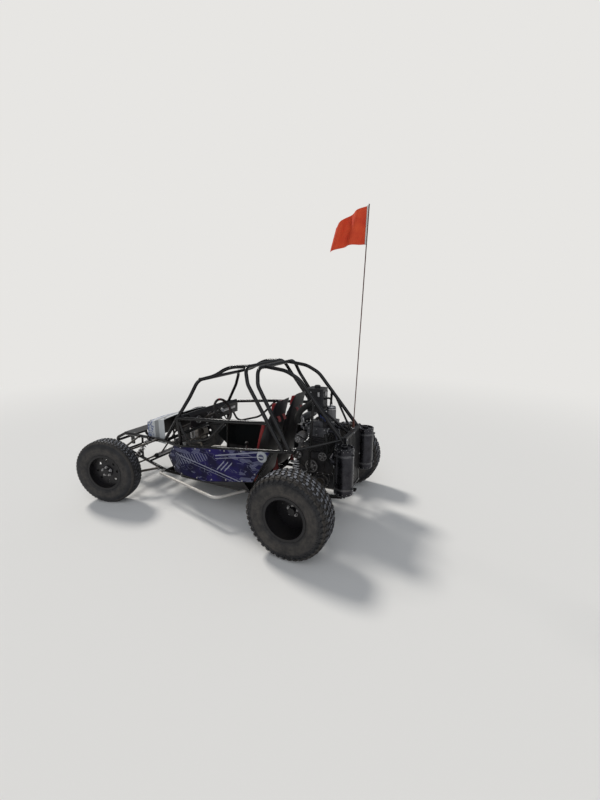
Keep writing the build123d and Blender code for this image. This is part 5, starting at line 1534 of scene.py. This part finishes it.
def make_box_details():
    """Air box straps, clips and cap grips, bolts of the guard and the foot of the whip."""
    outline = []
    for quarter, (x, y) in enumerate(((1, 1), (-1, 1), (-1, -1), (1, -1))):
        outline += [(x * BOX_CORNER[0] + BOX_CORNER_R * math.cos(math.pi / 2 * (quarter + t / 5)),
                     y * BOX_CORNER[1] + BOX_CORNER_R * math.sin(math.pi / 2 * (quarter + t / 5))) for t in range(6)]
    fit_out("air_box_straps", "grip_rubber", *[
        placed(prism([(x * grow, y * grow) for x, y in outline], up, up + tall, 1.0, 0.001),
               Matrix.Translation(AIR_BOX)) for up, grow, tall in BOX_STRAPS])
    clips = [slab(AIR_BOX + Vector((mark * 0.0785, back, 1.318)), (0.005, 0.020, 0.046), 0.001)
             for mark in (-1, 1) for back in (-0.045, 0.045)]
    clips += [slab(AIR_BOX + Vector((0, mark * 0.0925, 1.318)), (0.024, 0.005, 0.046), 0.001) for mark in (-1, 1)]
    fit_out("air_box_clips", "steel", *clips)
    ring = grown(ring_tree, block((0.004, 0.006, 0.003), 0.0008), Count=20, Radius=0.0325)
    standing = Matrix.Translation(AIR_BOX + Z * 1.383) @ Matrix.Rotation(math.pi / 2, 4, "Y")
    fit_out("air_box_cap_grips", "black_plastic", placed(ring, standing),
            drum(AIR_BOX + Z * 1.3935, Z, [(0, 0), (0.026, 0), (0.024, 0.006), (0, 0.006)], 30))
    guard = [(at(mark * 0.226, 0.3095, up), Y) for mark in (-1, 1) for up in (0.345, 0.640, 0.935)]
    guard += [(at(0, 0.3095, up), Y) for up in (0.338, 0.942)]
    set_bolts("guard_bolts", guard, 0.014, 0.007)
    fit_out("whip_foot", "steel", drum(at(-0.100, 0.270, 0.9543), Z, [
        (0.0128, 0), (0.019, 0), (0.019, 0.007), (0.015, 0.010), (0.0128, 0.010)]))


def make_engine():
    make_belt()
    make_alternator()
    make_intake()
    make_head_details()
    make_block_details()
    make_exhaust_details()
    make_box_details()


# Cabin, panels and front end dressing
# Waist rail from above: place behind the rear axle, distance from the middle
WAIST = [(-1.885, 0.400), (-1.530, 0.520), (-0.215, 0.545)]
PANEL_OUTLINE = [(-1.640, 0.668), (-1.785, 0.505), (-1.655, 0.360), (-1.200, 0.335), (-0.560, 0.460), (-0.342, 0.818)]
PANEL_MIDDLE = Vector((-1.05, 0.58))
PANEL_OUT = 0.0233
PANEL_EDGES = [(Vector(a), Vector(b)) for a, b in zip(PANEL_OUTLINE, PANEL_OUTLINE[1:] + PANEL_OUTLINE[:1])]


def panel_spot(back, up, off):
    """Place on the left side panel's outer face and its direction."""
    (b0, x0), (b1, x1) = WAIST[:2] if back < WAIST[1][0] else WAIST[1:]
    along = Vector((x1 - x0, b1 - b0, 0)).normalized()
    out = Vector((along.y, -along.x, 0))
    x = x0 + (x1 - x0) * (back - b0) / (b1 - b0) + PANEL_OUT / out.x
    return at(x, back, up) + out * off, out


def make_panel_details():
    """Studs round the side panels, an edge trim and the filler cap with its grip and screws."""
    spots, edge = [], []
    for a, b in PANEL_EDGES:
        count = max(2, round((b - a).length / 0.21))
        for i in range(count):
            point = a.lerp(b, (i + 0.5) / count)
            point += (PANEL_MIDDLE - point).normalized() * 0.024
            spots.append(panel_spot(*point, 0.0008))
        edge += [panel_spot(*a.lerp(b, i / 12), -0.002)[0] for i in range(12)]
    slot = [(-0.006, -0.001), (0.006, -0.001), (0.006, 0.001), (-0.006, 0.001)]
    stud = join(to_mesh(prism(circle(0.0085, 16), -0.0008, 0.0018, 0.8, 0.0006)), to_mesh(prism(slot, 0.0018, 0.0026)))
    fit_out("panel_studs", "steel", studded(stud, both_sides(spots)))
    fit_out("panel_trim", "grip_rubber", mirrored_too(pipe(edge, 0.0036, 20, False, True)))
    centre, out = panel_spot(-0.440, 0.752, -0.0005)
    fit_out("filler_cap", "cap_grey", drum(centre, out, [
        (0.0425, 0), (0.0560, 0), (0.0560, 0.004), (0.0505, 0.007), (0.0465, 0.007), (0.0465, 0.0135), (0.0440, 0.0160),
        (0.0340, 0.0160), (0.0325, 0.0140), (0.0300, 0.0140), (0.0300, 0.0125), (0.0425, 0.0125)], 64),
            slab(centre + out * 0.0215, (0.007, 0.058, 0.013), 0.003), slot="hood_paint")
    set_bolts("filler_bolts", ring_spots(centre + out * 0.004, 0.0530, turns(8), out), 0.005, 0.003)


def make_sills():
    """Folded black sheets that close the gap between the floor rails and the side panels' lower edges."""
    lower, rows = PANEL_OUTLINE[2:5], []
    thick = Vector((-0.0010, 0, 0.0012))
    for i in range(25):
        back = -1.640 + 0.040 * i
        (b0, u0), (b1, u1) = lower[:2] if back < lower[1][0] else lower[1:]
        foot = at(0.4305, back, 0.252)
        fold = panel_spot(back, u0 + (u1 - u0) * (back - b0) / (b1 - b0) + 0.004, -0.0065)[0]
        line = [foot, foot + Z * 0.020, fold, fold + Z * 0.014]
        rows.append(line + [p + thick for p in line[::-1]])
    made = bmesh.new()
    rows = [[made.verts.new(p) for p in row] for row in rows]
    skin(made, rows)
    for row in (rows[0], rows[-1]):
        for i in range(3):
            made.faces.new((row[i], row[i + 1], row[6 - i], row[7 - i]))
    fit_out("sills", "panel_black", mirrored_too(to_mesh(outward(made))))


def make_hood_details():
    """Latches on the hood's corners and bolts of the nose deck."""
    parts = []
    normal = Vector((0.10, -0.26, 1)).normalized()
    for back, half, top in ((-1.945, 0.364, 0.8945), (-2.262, 0.287, 0.8122)):
        place = at(half * 0.86, back, top + 0.018 * (1 - 0.86 ** 2))
        parts += [drum(place - normal * 0.001, normal, can(0.015, 0.0045, 0.0015)),
                  drum(place + normal * 0.0030, normal, can(0.006, 0.006, 0.001), 16),
                  placed(block((0.026, 0.005, 0.004), 0.001), facing(place + normal * 0.009, normal))]
    fit_out("hood_latches", "steel", mirrored_too(join(*parts)))
    normal = Vector((0, -0.06, 1)).normalized()
    spots = [(FRAME["nose_top"].lerp(FRAME["nose_bend"], 0.74 * share) - X * 0.004 + normal * 0.0236, normal)
             for share in (0.12, 0.88)]
    set_bolts("deck_bolts", both_sides(spots), 0.012, 0.005)


def ribbon(points, across, width, thick=0.0024):
    """Flat webbing that follows points; across holds its width directions, and its UV map is in metres."""
    made = bmesh.new()
    flat = made.loops.layers.uv.new("flat")
    rows, run, last = [], 0.0, points[0]
    for point, along, wide in zip(points, tangents(points), across):
        side = (wide - along * wide.dot(along)).normalized()
        out = side.cross(along)
        run += (point - last).length
        last = point
        rows.append(([made.verts.new(point + side * (width / 2 * i) + out * (thick / 2 * j))
                      for i, j in ((-1, -1), (1, -1), (1, 1), (-1, 1))], run))
    for (one, start), (other, end) in zip(rows, rows[1:]):
        for i in range(4):
            j = (i + 1) % 4
            face = made.faces.new((one[i], one[j], other[j], other[i]))
            wide = thick if i % 2 else width
            for loop, uv in zip(face.loops, ((0.0, start), (wide, start), (wide, end), (0.0, end))):
                loop[flat].uv = uv
    made.faces.new(rows[0][0][::-1])
    made.faces.new(rows[-1][0])
    return to_mesh(outward(made))


SHOULDER = [(0.055, -0.392, 1.040), (0.055, -0.404, 1.088), (0.056, -0.440, 1.104), (0.058, -0.486, 1.094),
            (0.060, -0.515, 1.050), (0.058, -0.546, 0.910), (0.054, -0.580, 0.748), (0.046, -0.614, 0.600),
            (0.036, -0.642, 0.535), (0.026, -0.680, 0.512), (0.018, -0.712, 0.507)]
LAP = [(0.196, -0.600, 0.330), (0.197, -0.612, 0.440), (0.192, -0.625, 0.520), (0.170, -0.645, 0.552),
       (0.120, -0.680, 0.530), (0.070, -0.712, 0.512), (0.024, -0.732, 0.508)]


def make_harness():
    """Four-point harness of each seat: webbing, buckle, adjusters and stitched pads."""
    webs, metal, pads = [], [], []
    for seat in (SEAT_X, -SEAT_X):
        for mark in (1, -1):
            route = bent([at(seat + mark * x, back, up) for x, back, up in SHOULDER], 5)
            webs.append(ribbon(route, [X] * len(route), 0.050))
            pad = route[int(len(route) * 0.42):int(len(route) * 0.62)]
            pads.append(ribbon([p - Y * 0.001 for p in pad], [X] * len(pad), 0.062, 0.011))
            route = bent([at(seat + mark * x, back, up) for x, back, up in LAP], 5)
            webs.append(ribbon(route, [Vector((0, -1, 0.25 * i / (len(route) - 1))) for i in range(len(route))], 0.048))
            metal.append(placed(block((0.060, 0.006, 0.030), 0.002),
                                Matrix.Translation(at(seat + mark * 0.0465, -0.6180, 0.600)),
                                Matrix.Rotation(0.22, 4, "X")))
            metal.append(slab(at(seat + mark * 0.1955, -0.600, 0.322), (0.006, 0.050, 0.036)))
        buckle = at(seat, -0.726, 0.514)
        metal += [drum(buckle - Z * 0.006, Z, [(0, 0), (0.030, 0), (0.032, 0.003), (0.032, 0.012), (0.028, 0.016),
                                               (0, 0.016)], 36),
                  slab(buckle + Z * 0.0125, (0.046, 0.010, 0.006))]
    fit_out("harness_webbing", "belt_red", *webs)
    fit_out("harness_pads", "seat_black", *pads)
    fit_out("harness_metal", "steel", *metal)


def make_seat_trim():
    """Piping along the cushions' seams."""
    piping = []
    for path, half, thick in (CUSHION, BACKREST):
        points = [at(0, back, up) for back, up in path]
        line = [point + X.cross(along) * (thick * 0.92 + 0.002) for point, along in zip(points, tangents(points))]
        piping += [pipe([p + X * (seat + mark * (half + 0.001)) for p in line], 0.0034, 16)
                   for seat in (SEAT_X, -SEAT_X) for mark in (1, -1)]
    fit_out("seat_piping", "piping_grey", *piping)


DASH_FACE = Vector((0, 1, 0.045)).normalized()
# Gauges: distance to the left, height, radius
GAUGES = [(0.318, 0.952, 0.043), (0.118, 0.952, 0.043), (0.030, 0.962, 0.027), (-0.040, 0.962, 0.027),
          (-0.110, 0.962, 0.027)]
TICKS, SWITCHES = 11, 6


def on_dash(x, up, off=0.0):
    return at(x, -1.4225 - (1.010 - up) * 0.046, up) + DASH_FACE * (off + 0.0006)


def on_dial(size, place, turn, out):
    """Small bar on a gauge, turned from upright and moved outwards."""
    return placed(block(size), facing(place, DASH_FACE), Matrix.Rotation(turn, 4, "Z"),
                  Matrix.Translation((0, out, 0)))


def make_dash_details():
    """Gauges, a row of switches on their plate, and the dash screws."""
    bezels, dials, needles, ticks = [], [], [], []
    for x, up, r in GAUGES:
        place = on_dash(x, up)
        bezels.append(drum(place, DASH_FACE, [(r - 0.006, 0), (r, 0), (r, 0.009), (r - 0.002, 0.011),
                                              (r - 0.006, 0.008)], 48))
        dials.append(drum(place, DASH_FACE, washer(0, r - 0.005, 0.003), 40))
        for i in range(TICKS):
            turn = math.radians(130 - 260 * i / (TICKS - 1))
            size = (0.0014, 0.0035 if i % 2 else 0.006, 0.0006)
            ticks.append(on_dial(size, place + DASH_FACE * 0.0032, turn, r - 0.012))
        needles.append(on_dial((0.0018, r * 0.72, 0.0008), place + DASH_FACE * 0.0045, 0.9, r * 0.30))
        needles.append(drum(place + DASH_FACE * 0.003, DASH_FACE, can(0.004, 0.0022, 0.0005), 14))
    fit_out("gauge_bezels", "steel", *bezels)
    fit_out("gauge_dials", "black_plastic", *dials)
    fit_out("gauge_ticks", "filter_white", *ticks)
    fit_out("gauge_needles", "seat_red", *needles, slot="black_plastic")
    bases, levers = [], []
    for i in range(SWITCHES):
        place = on_dash(-0.180 - 0.036 * i, 0.960)
        bases.append(drum(place, DASH_FACE, [(0, 0), (0.0085, 0), (0.0085, 0.003), (0.0055, 0.004), (0.0055, 0.009),
                                             (0, 0.009)], 18))
        tip = DASH_FACE * 0.026 + Z * (0.008 if i % 3 else -0.008)
        levers.append(drum(place + DASH_FACE * 0.007, tip, [(0, 0), (0.0018, 0), (0.0030, 0.020), (0, 0.021)], 12))
    fit_out("switches", "steel", *bases, *levers)
    fit_out("switch_plate", "alloy", placed(block((0.236, 0.046, 0.0014), 0.0005),
                                            facing(on_dash(-0.270, 0.960, -0.0002), DASH_FACE)))
    spots = [(on_dash(x, up, -0.001), DASH_FACE) for x in (-0.425, -0.14, 0.165, 0.425) for up in (0.895, 0.998)]
    set_bolts("dash_screws", spots, 0.008, 0.003)


# Steering wheel: middle, radius, its axis and the direction to its top; grips by first angle and span
WHEEL_AT, WHEEL_R, WHEEL_SLOPE = at(0.220, -1.150, 1.070), 0.125, math.radians(25)
WHEEL_OUT = Vector((0, math.cos(WHEEL_SLOPE), math.sin(WHEEL_SLOPE)))
WHEEL_UP = X.cross(WHEEL_OUT) if X.cross(WHEEL_OUT).z > 0 else WHEEL_OUT.cross(X)
GRIPS = ((99, 108), (219, 102), (339, 102))


def on_wheel(turn, radius=WHEEL_R):
    return WHEEL_AT + (X * math.cos(turn) + WHEEL_UP * math.sin(turn)) * radius


def make_wheel_trim():
    """Steering wheel's stitches, top band, grip seams, hub cap and screws."""
    body = "steering_wheel"
    seam = strung(pellet(0.0011, (2.6, 1.0, 1.0)), [on_wheel(t, 0.1113) for t in turns(64)], 0.0072, closed=True)
    fit_out("wheel_stitches", "seat_red", seam, slot="grip", body=body)
    arc = pipe([on_wheel(math.radians(84 + i)) for i in range(13)], 0.0146, 32, False)
    fit_out("wheel_top_band", "seat_red", arc, slot="grip", body=body)
    for start, span in GRIPS:
        angles = [math.radians(start + span * i / 3) for i in range(4)]
        seams = [drum(on_wheel(t), X * -math.sin(t) + WHEEL_UP * math.cos(t),
                      [(0.0136, -0.0012), (0.0145, -0.0005), (0.0145, 0.0005), (0.0136, 0.0012)], 24) for t in angles]
        fit_out("wheel_seams_%d" % start, "grip_rubber", *seams, body=body)
    hub = WHEEL_AT - WHEEL_OUT * 0.005
    fit_out("wheel_hub_cap", "steel", drum(hub, WHEEL_OUT, [
        (0, 0), (0.0255, 0), (0.0245, 0.003), (0.016, 0.004), (0.014, 0.008), (0, 0.009)], 40), body=body)
    spots = ring_spots(hub + WHEEL_OUT * 0.003, 0.0205, turns(6), WHEEL_OUT, WHEEL_UP, X)
    set_bolts("wheel_hub_screws", spots, 0.005, 0.003, body)


# Pedals by distance to the left; the first two have cylinders
PEDALS = (0.140, 0.225, 0.310)
LEVER_FOOT = at(0, -1.000, 0.2515)
LEVER = [LEVER_FOOT + Z * 0.08, LEVER_FOOT + Vector((0, -0.015, 0.24)), LEVER_FOOT + Vector((0.010, 0.010, 0.37))]
BRAKE_LINE = [at(0.140, -1.882, 0.325), at(0.300, -1.872, 0.300), at(0.372, -1.800, 0.2620), at(0.376, -1.200, 0.2620),
              at(0.382, -0.720, 0.2620), at(0.350, -0.500, 0.2900), at(0.322, -0.200, 0.3100),
              at(0.330, -0.090, 0.3250)]


def make_foot_controls():
    """Pedal pads, master cylinders, reservoirs and their hoses, gear lever, floor ribs and brake lines."""
    pads = [slab(at(across, -1.8115, 0.4415 + 0.011 * (i - 2.5)), (0.052, 0.004, 0.006), 0.0015)
            for across in PEDALS for i in range(6)]
    cylinders, caps, hoses = [], [], []
    for across in PEDALS[:2]:
        cylinders.append(drum(at(across, -1.800, 0.330), -Y, [
            (0, 0), (0.006, 0), (0.006, 0.020), (0.016, 0.022), (0.017, 0.080), (0.012, 0.090), (0, 0.090)], 24))
        cylinders.append(drum(at(across, -1.840, 0.515), Z, can(0.022, 0.055)))
        caps.append(drum(at(across, -1.840, 0.570), Z, [(0, 0), (0.0235, 0), (0.0235, 0.012), (0.020, 0.015),
                                                        (0, 0.015)], 20))
        hoses.append(pipe([at(across, -1.840, 0.518), at(across, -1.842, 0.460), at(across + 0.006, -1.856, 0.400),
                           at(across, -1.862, 0.345)], 0.005, 14))
    fit_out("pedal_pads", "grip_rubber", *pads)
    fit_out("fluid_cylinders", "filter_white", *cylinders)
    fit_out("reservoir_caps", "black_plastic", *caps)
    fit_out("reservoir_bracket", "steel", slab(at(0.180, -1.868, 0.590), (0.150, 0.004, 0.090), 0.001),
            slab(at(0.180, -1.845, 0.5480), (0.150, 0.050, 0.004), 0.001))
    fit_out("fluid_hoses", "grip_rubber", *hoses)
    fit_out("lever_gaiter", "grip_rubber",
            bellows(LEVER_FOOT, LEVER_FOOT + Vector((0, -0.010, 0.090)), 0.045, 0.014, 5))
    fit_out("gear_lever", "steel", pipe(LEVER, 0.007, 24))
    fit_out("gear_knob", "black_plastic", drum(LEVER[-1] - Z * 0.010, Z, [
        (0, 0), (0.010, 0), (0.020, 0.012), (0.0225, 0.024), (0.019, 0.036), (0.010, 0.043), (0, 0.044)]))
    ribs = [slab(at(x, -1.330, 0.2518), (0.012, 0.900, 0.003), 0.001) for x in [-0.33 + 0.06 * i for i in range(12)]
            if abs(x) > 0.04]
    fit_out("floor_ribs", "alloy", *ribs)
    spots = [(at(mark * 0.372, -1.84 + 0.16 * i, 0.2510), Z) for mark in (-1, 1) for i in range(8)]
    set_bolts("floor_bolts", spots, 0.011, 0.005)
    fit_out("brake_line", "steel", pipe(BRAKE_LINE, 0.0030, 14))


def make_cabin():
    make_panel_details()
    make_sills()
    make_hood_details()
    make_harness()
    make_seat_trim()
    make_dash_details()
    make_wheel_trim()
    make_foot_controls()


make_camera()
make_stage()

bare_metal("steel", (0.34, 0.34, 0.35), (0.52, 0.52, 0.53), 0.3)
bare_metal("alloy", (0.42, 0.42, 0.43), (0.62, 0.62, 0.63), 0.38)
bare_metal("cast_dark", (0.012, 0.012, 0.014), (0.040, 0.040, 0.045), 0.42, dusty=0.1, metallic=0.5)
bare_metal("hot_steel", (0.020, 0.020, 0.025), (0.050, 0.050, 0.058), 0.20, 0.02, 0.9, scale=300.0, bump=0.04)
bare_metal("head_metal", (0.042, 0.044, 0.048), (0.125, 0.127, 0.14), 0.34, dusty=0.1, metallic=0.85)
bare_metal("disc_steel", (0.22, 0.21, 0.20), (0.38, 0.37, 0.36), 0.34, dusty=0.3)
bare_metal("cast_grey", (0.13, 0.13, 0.135), (0.22, 0.22, 0.23), 0.5, dusty=0.3, metallic=0.6)
moulded("black_plastic", (0.006, 0.006, 0.008), (0.016, 0.016, 0.019), 0.40, dusty=0.08)
moulded("grip_rubber", (0.008, 0.008, 0.008), (0.018, 0.018, 0.018), 0.65, dusty=0.06, high=0.3)
moulded("whip_red", (0.055, 0.014, 0.010), (0.10, 0.03, 0.02), 0.4, dusty=0.0, bump=0.05)
moulded("seat_black", (0.008, 0.008, 0.010), (0.019, 0.019, 0.022), 0.6, dusty=0.08)
moulded("seat_red", (0.19, 0.010, 0.014), (0.30, 0.022, 0.024), 0.55, dusty=0.10)
moulded("flag_cloth", (0.56, 0.045, 0.018), (0.70, 0.085, 0.028), 0.8, dusty=0.0)
moulded("lead_blue", (0.018, 0.035, 0.13), (0.03, 0.055, 0.20), 0.45, dusty=0.05)
moulded("lead_red", (0.22, 0.012, 0.010), (0.32, 0.02, 0.016), 0.45, dusty=0.1)
moulded("filter_white", (0.50, 0.50, 0.48), (0.66, 0.66, 0.64), 0.45, dusty=0.15, bump=0.08)
moulded("piping_grey", (0.22, 0.22, 0.23), (0.32, 0.32, 0.33), 0.5, dusty=0.1)
woven("belt_red", (0.10, 0.008, 0.010), (0.34, 0.020, 0.022), 2400.0, dusty=0.1)
# Paints: colour, what is under it, roughness, dust, chips
painted("frame_black", (0.003, 0.003, 0.004), (0.11, 0.10, 0.10), 0.24, 0.03, 0.08, coat=0.05)
painted("arm_black", (0.007, 0.007, 0.009), (0.18, 0.17, 0.16), 0.36, 0.16, 0.28)
painted("step_silver", (0.46, 0.45, 0.43), (0.10, 0.09, 0.08), 0.42, 0.25, 0.30, metallic=0.35)
painted("hood_silver", hood_graphic, (0.2, 0.2, 0.2), 0.46, 0.08, 0.12, coat=0.05)
painted("cap_grey", (0.36, 0.38, 0.40), (0.2, 0.2, 0.2), 0.4, 0.12, 0.15)
painted("panel_black", (0.006, 0.006, 0.008), (0.2, 0.2, 0.2), 0.38, 0.045, 0.15)
painted("panel_paint", panel_graphic, (0.16, 0.16, 0.19), 0.36, 0.02, 0.08, shine=0.1)
painted("rim_black", (0.005, 0.005, 0.007), (0.15, 0.14, 0.13), 0.32, 0.07, 0.22, low=0.6, high=1.4,
        sand=(0.13, 0.11, 0.085))
painted("weld", (0.012, 0.012, 0.013), (0.20, 0.18, 0.16), 0.35, 0.10, 0.2)
painted("spring_steel", (0.40, 0.40, 0.41), (0.2, 0.2, 0.2), 0.32, 0.2, 0.15, metallic=0.6)

DRESS = {
    "frame_black": ["floor_frame", "hoops", "screen_frame", "side_frames", "cross_bars", "roof_rails", "rear_cage",
                    "nose_frame", "tow_eyes"],
    "step_silver": ["step_bars"], "hood_silver": ["hood"], "panel_paint": ["side_panels"],
    "arm_black": ["lower_arms", "upper_arms", "rear_arms", "half_shafts", "knuckle_left", "knuckle_right", "tie_rods",
                  "pedals", "steering_column"],
    "panel_black": ["floor_pan", "dash", "nose_deck", "rear_guard"],
    "rim_black": ["rim_%s_%s" % (end, side) for end in ("front", "rear") for side in ("left", "right")],
    "alloy": ["rack_housing"], "cast_dark": ["engine_block"], "head_metal": ["engine_head", "gearbox"],
    "steel": ["front_shocks", "rear_shocks"], "hot_steel": ["exhaust"], "black_plastic": ["tank"],
    "grip_rubber": ["steering_wheel"], "whip_red": ["whip"],
}
for finish_name, nodes in DRESS.items():
    dress(finish_name, *nodes)

make_wheels()
make_seats()
make_flag()
make_welds()
make_struts()
make_suspension_details()
make_brakes()
make_engine()
make_cabin()
